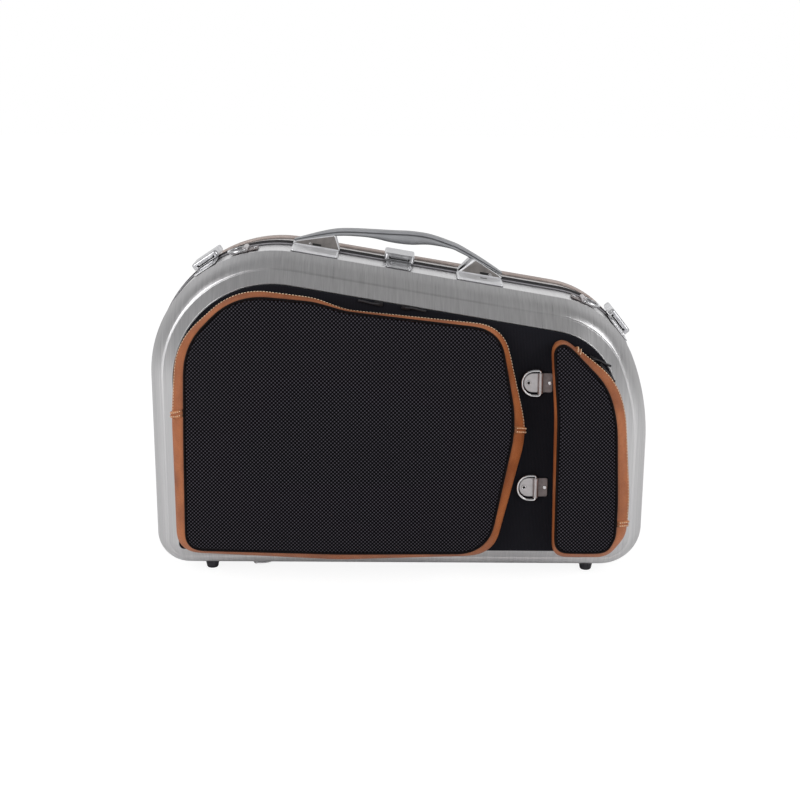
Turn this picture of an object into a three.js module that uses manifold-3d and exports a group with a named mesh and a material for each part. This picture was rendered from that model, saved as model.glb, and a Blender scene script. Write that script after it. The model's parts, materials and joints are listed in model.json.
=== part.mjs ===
// French horn case: two hard shells hinged along the bottom edge and closed by three latches,
// with two zipped pockets on the front, strap rings, a carrying handle and four rubber feet.
// Millimetres. +X is to the right seen from the front, +Y goes to the back, +Z is up.
// The case is drawn with its parting plane at y = 0 and its shells' lowest line at z = 0,
// and is moved at the end to stand on z = 0 with its box centred on x = 0 and y = 0.
import * as THREE from "three";
import { mergeVertices } from "three/addons/utils/BufferGeometryUtils.js";
import Module from "manifold-3d";

const wasm = await Module();
wasm.setup();

// Clearances
const GAP = 0.3;
const RUNNING_GAP = 0.4;
const OVERRUN = 1;

// Outline of the case, seen from the front: its radii and the fall of its top are shares of its height
const CASE_WIDTH = 558;
const CASE_HEIGHT = 365;
const TOP_LEFT_RADIUS_SHARE = 0.3863;
const TOP_FALL_SHARE = 0.25583;
const SHOULDER_RADIUS_SHARE = 0.29863;
const SIDE_RADIUS_SHARE = 0.71233;
const SIDE_ARC_START_SHARE = 0.40822;
const LOW_LEFT_RADIUS_SHARE = 0.09863;
const LOW_RIGHT_RADIUS_SHARE = 0.12603;
const TIGHTEST_RADIUS = 3;

// Section of the shells, front to back
const WALL = 4;
const FRONT_FLANK = 51;
const CREASE_DEPTH = 24;
const CREASE_INSET = 15.5;
const FRONT_BAND_BULGE = 1.2;
const RIM_DEPTH = 38;
const RIM_INSET = 30;
const PANEL_RECESS = 1.5;
const REAR_FLANK = 61;
const REAR_DRAFT = 2.5;
const REAR_CREASE_DEPTH = 19;
const REAR_CREASE_INSET = 17;
const REAR_RIM_DEPTH = 33;
const REAR_RIM_INSET = 32;
const LINER = 8;
const LINER_SETBACK = 1;

// Rubber seal round the parting line, and the leather strip round the rear shell
const SEAL_WIDTH = 9;
const SEAL_PROUD = 2.5;
const SEAL_WEB = 2;
const STRIP_WIDTH = 15;
const STRIP_THICK = 1.8;

// Fabric boards on the front and back
const PANEL_THICK = 3.2;
const BACK_PAD_THICK = 5.2;
const BACK_PAD_CROWN = 2;

// Pockets: outlines as shares of half the front panel's width, of its height, and of its height for
// radii, drawn in the proportion of half its width to its height and then stretched to its size
const POCKET_ASPECT = 0.8176;
const POCKET_DEPTH = 26;
const ZIP_DEPTH = 4.7;
const ZIP_INSET = 1.5;
const FACE_INSET = 1;
const FACE_THICK = 1.4;
const FACE_CROWN = 4;
const LARGE_BASE_SHARES = [
  [0.4268, -0.0082, 0.1057],
  [0.5672, 0.4616, 0.1922],
  [0.4504, 0.8604, 0.0925],
  [-0.2011, 0.9169, 0.6608],
  [-0.6964, 0.9854, 0.2763],
  [-0.9738, 0.7811, 0.2763],
  [-1.0142, 0.512, 0.2643],
  [-1.0019, -0.0022, 0.0721],
  [-0.2696, -0.031, 0.9852],
];
const LARGE_FACE_SHARES = [
  [0.3942, 0.0242, 0.125],
  [0.5111, 0.518, 0.5527],
  [0.4313, 0.8604, 0.0853],
  [-0.2415, 0.9313, 0.6608],
  [-0.7042, 0.989, 0.2643],
  [-0.9255, 0.7883, 0.2643],
  [-0.9502, 0.4459, 0.2643],
  [-0.9502, 0.0314, 0.0529],
  [-0.2662, 0.0194, 0.9852],
];
const SMALL_BASE_SHARES = [
  [0.7009, -0.0154, 0.0396],
  [0.9502, -0.0154, 0.0661],
  [1.0345, 0.0699, 0.0721],
  [1.0389, 0.2153, 0.817],
  [0.994, 0.5384, 0.4926],
  [0.9379, 0.6598, 0.2283],
  [0.6604, 0.8412, 0.0396],
  [0.684, 0.5445, 0.9852],
];
const SMALL_FACE_SHARES = [
  [0.7009, 0.0278, 0.0396],
  [0.9345, 0.0278, 0.0457],
  [0.9704, 0.0903, 0.0457],
  [0.9704, 0.2153, 0.817],
  [0.9457, 0.518, 0.4926],
  [0.8941, 0.6466, 0.2643],
  [0.6638, 0.8544, 0.036],
  [0.684, 0.5445, 0.9852],
];

// Zip sliders with their pulls: place as a share of the front panel's reach to that side at that
// height and as a share of its height, and turn
const SLIDER_LENGTH = 9;
const SLIDER_WIDTH = 5;
const SLIDER_THICK = 3;
const PULL_LENGTH = 18;
const PULL_WIDTH = 2.6;
const SLIDER_SHARES = {
  large_left: [-0.1181, 0.9348, 172],
  large_right: [0.4181, 0.9217, 352],
  small_upper: [0.9574, 0.7558, 340],
  small_lower: [0.9832, 0.7064, 311],
};

// Carrying handle, in the frame of the sloping top: stations from its left end to its right end,
// each with its place along the span, its top and its underside as shares of span and rise
const HANDLE_SPAN = 238;
const HANDLE_RISE = 37;
const HANDLE_DEPTH = 18;
const HANDLE_END_DEPTH = 13;
const HANDLE_BACK = 5;
const HANDLE_PLACE_SHARE = -0.014;
const HANDLE_STATION_SHARES = [
  [-1.0, 0.17, 0.106],
  [-0.87, 0.36, 0.222],
  [-0.75, 0.53, 0.334],
  [-0.62, 0.68, 0.44],
  [-0.48, 0.77, 0.52],
  [-0.28, 0.85, 0.57],
  [-0.09, 0.92, 0.535],
  [0.09, 0.99, 0.56],
  [0.27, 0.995, 0.66],
  [0.47, 0.89, 0.66],
  [0.56, 0.82, 0.59],
  [0.66, 0.7, 0.49],
  [0.76, 0.575, 0.365],
  [0.88, 0.405, 0.245],
  [1.0, 0.225, 0.125],
];

// Handle mounts
const MOUNT_LENGTH = 51;
const MOUNT_PLATE_THICK = 2.8;
const MOUNT_FRONT_MARGIN = 3;
const WEDGE_DEPTH = 16;
const WEDGE_APEX_SHARE = 0.82;
const WEDGE_TIP = 3.1;
const WEDGE_HEIGHT = 15;
const MOUNT_PIN_RADIUS = 1.5;
const MOUNT_PIN_HEIGHT = 5.8;

// Latches
const LATCH_WIDTH = 32;
const LATCH_HEIGHT = 9.6;
const LATCH_SHEET = 1.5;
const LATCH_LENGTH = 38;
const LATCH_FRONT = 12;
const LATCH_PIVOT_BACK = 3;
const LATCH_PIVOT_HEIGHT = 5;
const LATCH_PIN_RADIUS = 1.2;
const EAR_RADIUS = 2.5;
const WINDOW_MARGIN = 3.6;
const KEEPER_WIDTH = 28;
const KEEPER_THICK = 1.2;
const KEEPER_LIP = 2.4;
const LATCH_LEFT_DEG = 123.7;
const LATCH_RIGHT_DEG = 38.7;
const LATCH_PLACE_SHARE = -0.009;

// Strap rings and their plates
const RING_WIRE = 1.3;
const RING_REACH = 20;
const RING_SPAN = 28;
const RING_CORNER = 2;
const RING_ROUND = 12;
const RING_PLATE_SPAN = 23;
const RING_LOBE = 18;
const RING_TAIL = 11;
const RING_PLATE_THICK = 1.2;
const KNUCKLE_RADIUS = 3;
const RIVET_RADIUS = 2.4;
const RIVET_HEIGHT = 0.9;
const RIVET_MARGIN = 4;
const FLANK_RING_BACK = 31;
const RING_UPPER_SHARES = [0.6166, 0.6526];
const RING_LOWER_SHARES = [0.6099, 0.2561];
const RING_LEFT_DEG = 103.5;
const RING_RIGHT_DEG = 66;
const RING_UNDER_SHARE = -0.6;

// Hinges under the bottom edge
const HINGE_WIDTH = 60;
const HINGE_LEAF = 24;
const HINGE_LEAF_THICK = 1.6;
const HINGE_RADIUS = 3.3;
const HINGE_PIN_RADIUS = 1.5;
const HINGE_KNUCKLES = 5;
const HINGE_PLACE_SHARES = { left: -0.36, right: 0.43 };

// Feet
const FOOT_HEIGHT = 12;
const FOOT_RADIUS = 8.4;
const FOOT_TIP_RADIUS = 6.6;
const FOOT_ROUND = 2.4;
const FOOT_FRONT_BACK = 37;
const FOOT_REAR_BACK = 33;
const FOOT_PLACE_SHARE = 0.785;

// Steps of the round stretches
const CORNER_STEPS = 6;
const SIDE_STEPS = 4;
const SHOULDER_STEPS = 8;
const TOP_LEFT_STEPS = 12;
const POCKET_STEPS = 5;
const RING_STEPS = 4;
const WIRE_SIDES = 8;
const ROUND_SIDES = 16;
const HANDLE_STEPS = 30;
const HANDLE_SIDES = 14;

// Finishes
const finish = (color, roughness, metalness) => ({ color, roughness, metalness });
const BRUSHED = finish(0x9a9a9c, 0.36, 0.7);
const CHROME = finish(0xd6d6d8, 0.14, 1);
const RUBBER = finish(0x26262a, 0.75, 0);
const FABRIC = finish(0x16161a, 0.95, 0);
const MESH_FABRIC = finish(0x1c1a22, 0.9, 0);
const LEATHER = finish(0xa66e50, 0.55, 0);
const PLUSH = finish(0x3a3a40, 1, 0);
const GRIP = finish(0x8f8f90, 0.5, 0.2);

const rad = THREE.MathUtils.degToRad;
const root = new THREE.Group();

// Mesh helpers

// A closed mesh facing out, from its points and triangles.
function closedMesh(points, faces) {
  const geometry = new THREE.BufferGeometry();
  geometry.setAttribute("position", new THREE.Float32BufferAttribute(points.flatMap((p) => p.toArray()), 3));
  let volume = 0;
  for (const [a, b, c] of faces) {
    volume += points[a].dot(points[b].clone().cross(points[c]));
  }
  geometry.setIndex(faces.flatMap((face) => (volume < 0 ? [face[0], face[2], face[1]] : face)));
  return geometry;
}

// Joins equal rings of points one after another. Ends are filled flat, or the last ring meets the first.
function loft(rings, joined = false) {
  const count = rings[0].length;
  const points = rings.flat();
  const faces = [];
  const bands = joined ? rings.length : rings.length - 1;
  for (let band = 0; band < bands; band++) {
    const near = band * count;
    const far = ((band + 1) % rings.length) * count;
    for (let i = 0; i < count; i++) {
      const next = (i + 1) % count;
      faces.push([near + i, near + next, far + i]);
      faces.push([near + next, far + next, far + i]);
    }
  }
  if (!joined) {
    for (const first of [0, (rings.length - 1) * count]) {
      const ring = flatten(points.slice(first, first + count));
      const ringTurn = Math.sign(THREE.ShapeUtils.area(ring));
      for (const [a, b, c] of THREE.ShapeUtils.triangulateShape(ring, [])) {
        const same = Math.sign(THREE.ShapeUtils.area([ring[a], ring[b], ring[c]])) === ringTurn;
        const corners = [first + a, first + b, first + c];
        faces.push(same === (first > 0) ? corners : corners.reverse());
      }
    }
  }
  return closedMesh(points, faces);
}

// The points of a flat ring, dropped on the plane that it faces most.
function flatten(ring) {
  const normal = new THREE.Vector3();
  ring.forEach((point, i) => {
    normal.add(point.clone().cross(ring[(i + 1) % ring.length]));
  });
  const size = normal.toArray().map(Math.abs);
  if (size[1] >= size[0] && size[1] >= size[2]) {
    return ring.map((p) => new THREE.Vector2(p.z, p.x));
  }
  if (size[0] >= size[2]) {
    return ring.map((p) => new THREE.Vector2(p.y, p.z));
  }
  return ring.map((p) => new THREE.Vector2(p.x, p.y));
}

// A geometry as a solid that can be joined and cut, and back again.
function solidOf(geometry) {
  const bare = geometry.clone();
  bare.deleteAttribute("normal");
  bare.deleteAttribute("uv");
  const merged = mergeVertices(bare, GAP / 1000);
  return new wasm.Manifold(
    new wasm.Mesh({
      numProp: 3,
      vertProperties: merged.attributes.position.array,
      triVerts: new Uint32Array(merged.index.array),
    }),
  );
}

function geometryOf(solid) {
  const mesh = solid.getMesh();
  const geometry = new THREE.BufferGeometry();
  geometry.setAttribute("position", new THREE.BufferAttribute(mesh.vertProperties, mesh.numProp));
  geometry.setIndex(new THREE.BufferAttribute(mesh.triVerts, 1));
  return geometry;
}

function joinAll(...geometries) {
  return geometryOf(geometries.map(solidOf).reduce((whole, piece) => whole.add(piece)));
}

function cutFrom(geometry, ...tools) {
  return geometryOf(tools.map(solidOf).reduce((whole, tool) => whole.subtract(tool), solidOf(geometry)));
}

// A box between two corners.
function block(low, high) {
  const size = high.map((value, i) => value - low[i]);
  const middle = high.map((value, i) => (value + low[i]) / 2);
  return new THREE.BoxGeometry(...size).translate(...middle);
}

// A round bar along X, Y or Z between two places on that axis.
function bar(axis, radius, from, to, sides = ROUND_SIDES) {
  const geometry = new THREE.CylinderGeometry(radius, radius, to - from, sides);
  if (axis === "x") {
    geometry.rotateZ(-Math.PI / 2);
    return geometry.translate((from + to) / 2, 0, 0);
  }
  if (axis === "z") {
    geometry.rotateX(Math.PI / 2);
    return geometry.translate(0, 0, (from + to) / 2);
  }
  return geometry.translate(0, (from + to) / 2, 0);
}

// A profile of [y, z] points drawn out along X.
function drawnAlongX(profile, from, to) {
  const shape = new THREE.Shape(profile.map(([y, z]) => new THREE.Vector2(y, z)));
  const geometry = new THREE.ExtrudeGeometry(shape, { depth: to - from, bevelEnabled: false });
  const turn = new THREE.Matrix4().makeBasis(
    new THREE.Vector3(0, 1, 0),
    new THREE.Vector3(0, 0, 1),
    new THREE.Vector3(1, 0, 0),
  );
  return geometry.applyMatrix4(turn).translate(from, 0, 0);
}

// A profile of [x, z] points drawn out along Y.
function drawnAlongY(profile, from, to) {
  return loft([from, to].map((y) => profile.map(([x, z]) => new THREE.Vector3(x, y, z))));
}

// Named meshes
function piece(name, geometry, material, parent = root) {
  const mesh = new THREE.Mesh(geometry, new THREE.MeshStandardMaterial(material));
  mesh.name = name;
  parent.add(mesh);
  return mesh;
}

// Outline helpers

// Points of an arc in the X-Z plane, from one angle to another in degrees.
function arc([x, z], radius, from, to, steps) {
  return Array.from({ length: steps + 1 }, (_, i) => {
    const angle = rad(from + ((to - from) * i) / steps);
    return [x + radius * Math.cos(angle), z + radius * Math.sin(angle)];
  });
}

// Radii of the outline and the four places that its arcs turn about.
const TOP_LEFT_RADIUS = TOP_LEFT_RADIUS_SHARE * CASE_HEIGHT;
const SHOULDER_RADIUS = SHOULDER_RADIUS_SHARE * CASE_HEIGHT;
const SIDE_RADIUS = SIDE_RADIUS_SHARE * CASE_HEIGHT;
const LOW_LEFT_RADIUS = LOW_LEFT_RADIUS_SHARE * CASE_HEIGHT;
const LOW_RIGHT_RADIUS = LOW_RIGHT_RADIUS_SHARE * CASE_HEIGHT;
const topSlope = Math.atan((TOP_FALL_SHARE * CASE_HEIGHT) / CASE_WIDTH);
const topNormalDeg = 90 - THREE.MathUtils.radToDeg(topSlope);
const topNormal = [Math.cos(rad(topNormalDeg)), Math.sin(rad(topNormalDeg))];
const topLeftCentre = [TOP_LEFT_RADIUS - CASE_WIDTH / 2, CASE_HEIGHT - TOP_LEFT_RADIUS];
const sideCentre = [CASE_WIDTH / 2 - SIDE_RADIUS, SIDE_ARC_START_SHARE * CASE_HEIGHT];
const topReach = topNormal[0] * topLeftCentre[0] + topNormal[1] * topLeftCentre[1] + TOP_LEFT_RADIUS;
const sideReach = topNormal[0] * sideCentre[0] + topNormal[1] * sideCentre[1];
const centreStep = SIDE_RADIUS - SHOULDER_RADIUS;
const shoulderDeg =
  topNormalDeg - THREE.MathUtils.radToDeg(Math.acos((topReach - SHOULDER_RADIUS - sideReach) / centreStep));
const shoulderCentre = [
  sideCentre[0] + centreStep * Math.cos(rad(shoulderDeg)),
  sideCentre[1] + centreStep * Math.sin(rad(shoulderDeg)),
];

// The case's outline drawn in by an inset, with the same number of points for every inset.
function outline(inset) {
  const side = CASE_WIDTH / 2 - inset;
  const lowRight = Math.max(LOW_RIGHT_RADIUS - inset, TIGHTEST_RADIUS);
  const lowLeft = Math.max(LOW_LEFT_RADIUS - inset, TIGHTEST_RADIUS);
  return [
    ...arc([side - lowRight, inset + lowRight], lowRight, -90, 0, CORNER_STEPS),
    ...arc(sideCentre, SIDE_RADIUS - inset, 0, shoulderDeg, SIDE_STEPS),
    ...arc(shoulderCentre, SHOULDER_RADIUS - inset, shoulderDeg, topNormalDeg, SHOULDER_STEPS).slice(1),
    ...arc(topLeftCentre, TOP_LEFT_RADIUS - inset, topNormalDeg, 180, TOP_LEFT_STEPS),
    ...arc([lowLeft - side, inset + lowLeft], lowLeft, 180, 270, CORNER_STEPS),
  ];
}

const ringAt = ([y, inset]) => outline(inset).map(([x, z]) => new THREE.Vector3(x, y, z));

// A section line of [y, inset] points moved inwards by a distance, square to its own run.
// Its first point keeps its y, and its last point is met by a flat face.
function movedIn(section, distance, back) {
  const side = back ? -1 : 1;
  const first = [section[0][0] + side, section[0][1]];
  const last = section[section.length - 1];
  const run = [first, ...section, [last[0], last[1] + 1]];
  return section.map((point, i) => {
    const before = normalOf(run[i], run[i + 1], side);
    const after = normalOf(run[i + 1], run[i + 2], side);
    const sum = [before[0] + after[0], before[1] + after[1]];
    const stretch = (2 * distance) / (sum[0] ** 2 + sum[1] ** 2);
    return [point[0] + sum[0] * stretch, point[1] + sum[1] * stretch];
  });
}

function normalOf([y0, inset0], [y1, inset1], side) {
  const length = Math.hypot(y1 - y0, inset1 - inset0);
  return [(side * (inset1 - inset0)) / length, (side * (y0 - y1)) / length];
}

// A round-cornered outline from corners of [x, z, radius].
function roundedOutline(corners, steps) {
  const points = [];
  corners.forEach(([x, z, radius], i) => {
    const here = new THREE.Vector2(x, z);
    const before = new THREE.Vector2(...corners.at(i - 1)).sub(here).normalize();
    const after = new THREE.Vector2(...corners[(i + 1) % corners.length]).sub(here).normalize();
    const half = Math.acos(THREE.MathUtils.clamp(before.dot(after), -1, 1)) / 2;
    const toCentre = before.clone().add(after).normalize().multiplyScalar(radius / Math.sin(half));
    const centre = here.clone().add(toCentre);
    const start = here.clone().addScaledVector(before, radius / Math.tan(half)).sub(centre);
    const end = here.clone().addScaledVector(after, radius / Math.tan(half)).sub(centre);
    const turn = Math.atan2(start.cross(end), start.dot(end));
    for (let step = 0; step <= steps; step++) {
      const point = start.clone().rotateAround(new THREE.Vector2(), (turn * step) / steps).add(centre);
      points.push([point.x, point.y]);
    }
  });
  return points;
}

// A closed outline of [x, z] points drawn in by a small distance.
function shrunk(points, distance) {
  return points.map(([x, z], i) => {
    const [x0, z0] = points.at(i - 1);
    const [x1, z1] = points[(i + 1) % points.length];
    const length = Math.hypot(x1 - x0, z1 - z0);
    return [x - (distance * (z1 - z0)) / length, z + (distance * (x1 - x0)) / length];
  });
}

// Local frame of a fitting on the flank: X along the flank to the right, Y to the back, Z outwards.
function flankFrame([x, z], normalDeg) {
  const frame = new THREE.Group();
  frame.position.set(x, 0, z);
  frame.rotation.y = rad(90 - normalDeg);
  root.add(frame);
  return frame;
}

function onArc([x, z], radius, deg) {
  return flankFrame([x + radius * Math.cos(rad(deg)), z + radius * Math.sin(rad(deg))], deg);
}

// On the sloping top, at a share of half the case's width.
function onTop(widthShare) {
  const x = (widthShare * CASE_WIDTH) / 2;
  return flankFrame([x, (topReach - topNormal[0] * x) / topNormal[1]], topNormalDeg);
}

// Shells and liners
const shellRim = GAP / 2 + SEAL_WEB + GAP;
const frontSection = [
  [-shellRim, 0],
  [-FRONT_FLANK, 0],
  [-FRONT_FLANK - CREASE_DEPTH / 2, CREASE_INSET / 2 - FRONT_BAND_BULGE],
  [-FRONT_FLANK - CREASE_DEPTH, CREASE_INSET],
  [-FRONT_FLANK - RIM_DEPTH, RIM_INSET],
];
const rearSection = [
  [shellRim, 0],
  [SEAL_WIDTH, 0],
  [REAR_FLANK, REAR_DRAFT],
  [REAR_FLANK + REAR_CREASE_DEPTH, REAR_CREASE_INSET],
  [REAR_FLANK + REAR_RIM_DEPTH, REAR_RIM_INSET],
];

// A shell has a shallow recess in its flat face for the fabric board.
function shell(section) {
  const back = section[0][0] > 0;
  const [rimY, rimInset] = section.at(-1);
  const recess = [rimY + (back ? -PANEL_RECESS : PANEL_RECESS), rimInset + GAP];
  return loft([...movedIn(section, WALL, back).reverse(), ...section, recess].map(ringAt));
}

// A liner lies inside its shell and ends just short of the parting plane.
function liner(section) {
  const back = section[0][0] > 0;
  const outer = movedIn(section, WALL + GAP, back);
  const inner = movedIn(section, WALL + GAP + LINER, back);
  for (const line of [outer, inner]) {
    line[0][0] = back ? LINER_SETBACK : -LINER_SETBACK;
  }
  return loft([...inner.reverse(), ...outer].map(ringAt));
}

piece("front_shell", shell(frontSection), BRUSHED);
piece("rear_shell", shell(rearSection), BRUSHED);
piece("front_liner", liner(frontSection), PLUSH);
piece("rear_liner", liner(rearSection), PLUSH);

// Seal halves and leather strip
function sealHalf(side) {
  const section = [
    [SEAL_WIDTH, -SEAL_PROUD],
    [GAP / 2, -SEAL_PROUD],
    [GAP / 2, WALL],
    [GAP / 2 + SEAL_WEB, WALL],
    [GAP / 2 + SEAL_WEB, -GAP],
    [SEAL_WIDTH, -GAP],
  ];
  return loft(section.map(([y, inset]) => ringAt([side * y, inset])), true);
}

piece("front_seal", sealHalf(-1), RUBBER);
piece("rear_seal", sealHalf(1), RUBBER);

const draftAt = (y) => (REAR_DRAFT * (y - SEAL_WIDTH)) / (REAR_FLANK - SEAL_WIDTH);
const stripSection = [
  [REAR_FLANK - STRIP_WIDTH, -GAP],
  [REAR_FLANK, -GAP],
  [REAR_FLANK, -GAP - STRIP_THICK],
  [REAR_FLANK - STRIP_WIDTH, -GAP - STRIP_THICK],
];
piece(
  "leather_strip",
  loft(stripSection.map(([y, lift]) => ringAt([y, draftAt(y) + lift])), true),
  LEATHER,
);

// Fabric boards
const frontRest = PANEL_RECESS - FRONT_FLANK - RIM_DEPTH - GAP;
const panelFace = frontRest - PANEL_THICK;
const panelInset = RIM_INSET + 2 * GAP;
piece("front_panel", loft([ringAt([frontRest, panelInset]), ringAt([panelFace, panelInset])]), FABRIC);

// A place on the front panel, from shares of half its width and of its height.
function onPanel([x, z]) {
  return [x * (CASE_WIDTH / 2 - panelInset), panelInset + z * (CASE_HEIGHT - 2 * panelInset)];
}

const rearRest = REAR_FLANK + REAR_RIM_DEPTH - PANEL_RECESS + GAP;
const backInset = REAR_RIM_INSET + 2 * GAP;
const backPadRings = [
  [rearRest, backInset],
  [rearRest + BACK_PAD_THICK - BACK_PAD_CROWN, backInset],
  [rearRest + BACK_PAD_THICK, backInset + 3 * BACK_PAD_CROWN],
];
piece("back_pad", loft(backPadRings.map(ringAt)), FABRIC);

// How far the front panel reaches to one side of the middle at a height.
function panelReach(z, side) {
  const edge = outline(panelInset);
  const crossings = edge.map(([x1, z1], i) => {
    const [x0, z0] = edge.at(i - 1);
    return (z0 - z) * (z1 - z) < 0 ? side * THREE.MathUtils.lerp(x0, x1, (z - z0) / (z1 - z0)) : 0;
  });
  return Math.max(...crossings);
}

// Pockets
function pocketOutline(shares) {
  const drawn = roundedOutline(shares.map(([x, z, radius]) => [x * POCKET_ASPECT, z, radius]), POCKET_STEPS);
  return drawn.map(([x, z]) => onPanel([x / POCKET_ASPECT, z]));
}

const pocketBack = panelFace - GAP;
const zipFront = pocketBack - ZIP_DEPTH;
const pocketFront = panelFace - POCKET_DEPTH;

function pocket(name, baseShares, faceShares) {
  const base = pocketOutline(baseShares);
  const face = pocketOutline(faceShares);
  const ring = (points, y) => points.map(([x, z]) => new THREE.Vector3(x, y, z));
  const zip = shrunk(base, ZIP_INSET);
  piece(`${name}_zip`, loft([ring(zip, pocketBack), ring(zip, zipFront)]), FABRIC);
  piece(`${name}_gusset`, loft([ring(base, zipFront - GAP), ring(face, pocketFront)]), LEATHER);
  const middle = new THREE.Box2().setFromPoints(face.map(([x, z]) => new THREE.Vector2(x, z)));
  const centre = middle.getCenter(new THREE.Vector2());
  const crownShares = [0, 0.05, 0.16, 0.42];
  const rings = crownShares.map((share) => {
    const rise = FACE_THICK + FACE_CROWN * (1 - (1 - share) ** 4);
    const drawnIn = shrunk(face, FACE_INSET);
    return drawnIn.map(([x, z]) =>
      new THREE.Vector3(
        THREE.MathUtils.lerp(x, centre.x, share),
        pocketFront - GAP - rise,
        THREE.MathUtils.lerp(z, centre.y, share),
      ),
    );
  });
  piece(`${name}_face`, loft([ring(shrunk(face, FACE_INSET), pocketFront - GAP), ...rings]), MESH_FABRIC);
}

pocket("large_pocket", LARGE_BASE_SHARES, LARGE_FACE_SHARES);
pocket("small_pocket", SMALL_BASE_SHARES, SMALL_FACE_SHARES);

// Zip sliders, each with its cord pull, lying on the front panel beside the pockets
for (const [name, [x, z, turn]] of Object.entries(SLIDER_SHARES)) {
  const low = panelFace - GAP;
  const half = SLIDER_LENGTH / 2;
  const body = block([-half, low - SLIDER_THICK, -SLIDER_WIDTH / 2], [half, low, SLIDER_WIDTH / 2]);
  const pullBack = low - (SLIDER_THICK - PULL_WIDTH) / 2;
  const pull = block(
    [0, pullBack - PULL_WIDTH, -PULL_WIDTH / 2],
    [half + PULL_LENGTH, pullBack, PULL_WIDTH / 2],
  );
  const mesh = piece(`zip_slider_${name}`, joinAll(body, pull), CHROME);
  const [, placeZ] = onPanel([x, z]);
  mesh.position.set(x * panelReach(placeZ, Math.sign(x)), 0, placeZ);
  mesh.rotation.y = -rad(turn);
}

// Handle and its mounts, in the frame of the sloping top
const handleFrame = onTop(HANDLE_PLACE_SHARE);
const stations = new THREE.CatmullRomCurve3(
  HANDLE_STATION_SHARES.map(
    ([along, top, under]) =>
      new THREE.Vector3((along * HANDLE_SPAN) / 2, top * HANDLE_RISE, under * HANDLE_RISE),
  ),
);
const handleRings = Array.from({ length: HANDLE_STEPS + 1 }, (_, i) => {
  const station = stations.getPointAt(i / HANDLE_STEPS);
  const nearEnd = Math.abs(station.x) / (HANDLE_SPAN / 2);
  const halfDepth = THREE.MathUtils.lerp(HANDLE_DEPTH, HANDLE_END_DEPTH, nearEnd ** 3) / 2;
  const halfHeight = (station.y - station.z) / 2;
  return Array.from({ length: HANDLE_SIDES }, (_, j) => {
    const angle = (2 * Math.PI * j) / HANDLE_SIDES;
    const squared = (value) => Math.sign(value) * Math.sqrt(Math.abs(value));
    const across = halfDepth * squared(Math.cos(angle));
    const up = halfHeight * squared(Math.sin(angle));
    return new THREE.Vector3(station.x, across - HANDLE_BACK, station.z + halfHeight + up);
  });
});
piece("handle_grip", loft(handleRings), GRIP, handleFrame);

// side is 1 for the mount at the right end and -1 for the one at the left
function handleMount(name, side) {
  const outer = HANDLE_SPAN / 2;
  const apex = outer - MOUNT_LENGTH * WEDGE_APEX_SHARE;
  const inner = outer - MOUNT_LENGTH;
  const place = (x) => side * x;
  const plateBack = -SEAL_WIDTH - GAP;
  const plateFront = MOUNT_FRONT_MARGIN - FRONT_FLANK;
  const wedgeBack = WEDGE_DEPTH / 2 - HANDLE_BACK;
  const wedgeFront = wedgeBack - WEDGE_DEPTH;
  const wedgeLow = SEAL_PROUD + RUNNING_GAP;
  const plateEnds = [place(inner), place(outer)].sort((a, b) => a - b);
  const plate = block([plateEnds[0], plateFront, GAP], [plateEnds[1], plateBack, GAP + MOUNT_PLATE_THICK]);
  const profile = [
    [place(outer), wedgeLow],
    [place(outer), WEDGE_TIP],
    [place(apex), WEDGE_HEIGHT],
    [place(inner), wedgeLow + GAP],
    [place(inner), wedgeLow],
  ];
  const wedge = drawnAlongY(profile, wedgeFront, wedgeBack);
  const pinX = place((outer + apex) / 2);
  const bore = bar("y", MOUNT_PIN_RADIUS + GAP, wedgeFront - OVERRUN, wedgeBack + OVERRUN);
  bore.translate(pinX, 0, MOUNT_PIN_HEIGHT);
  piece(`handle_mount_${name}`, cutFrom(joinAll(plate, wedge), bore), CHROME, handleFrame);
  const pin = bar("y", MOUNT_PIN_RADIUS, wedgeFront, wedgeBack);
  piece(`handle_pin_${name}`, pin.translate(pinX, 0, MOUNT_PIN_HEIGHT), CHROME, handleFrame);
}

handleMount("left", -1);
handleMount("right", 1);

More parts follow.
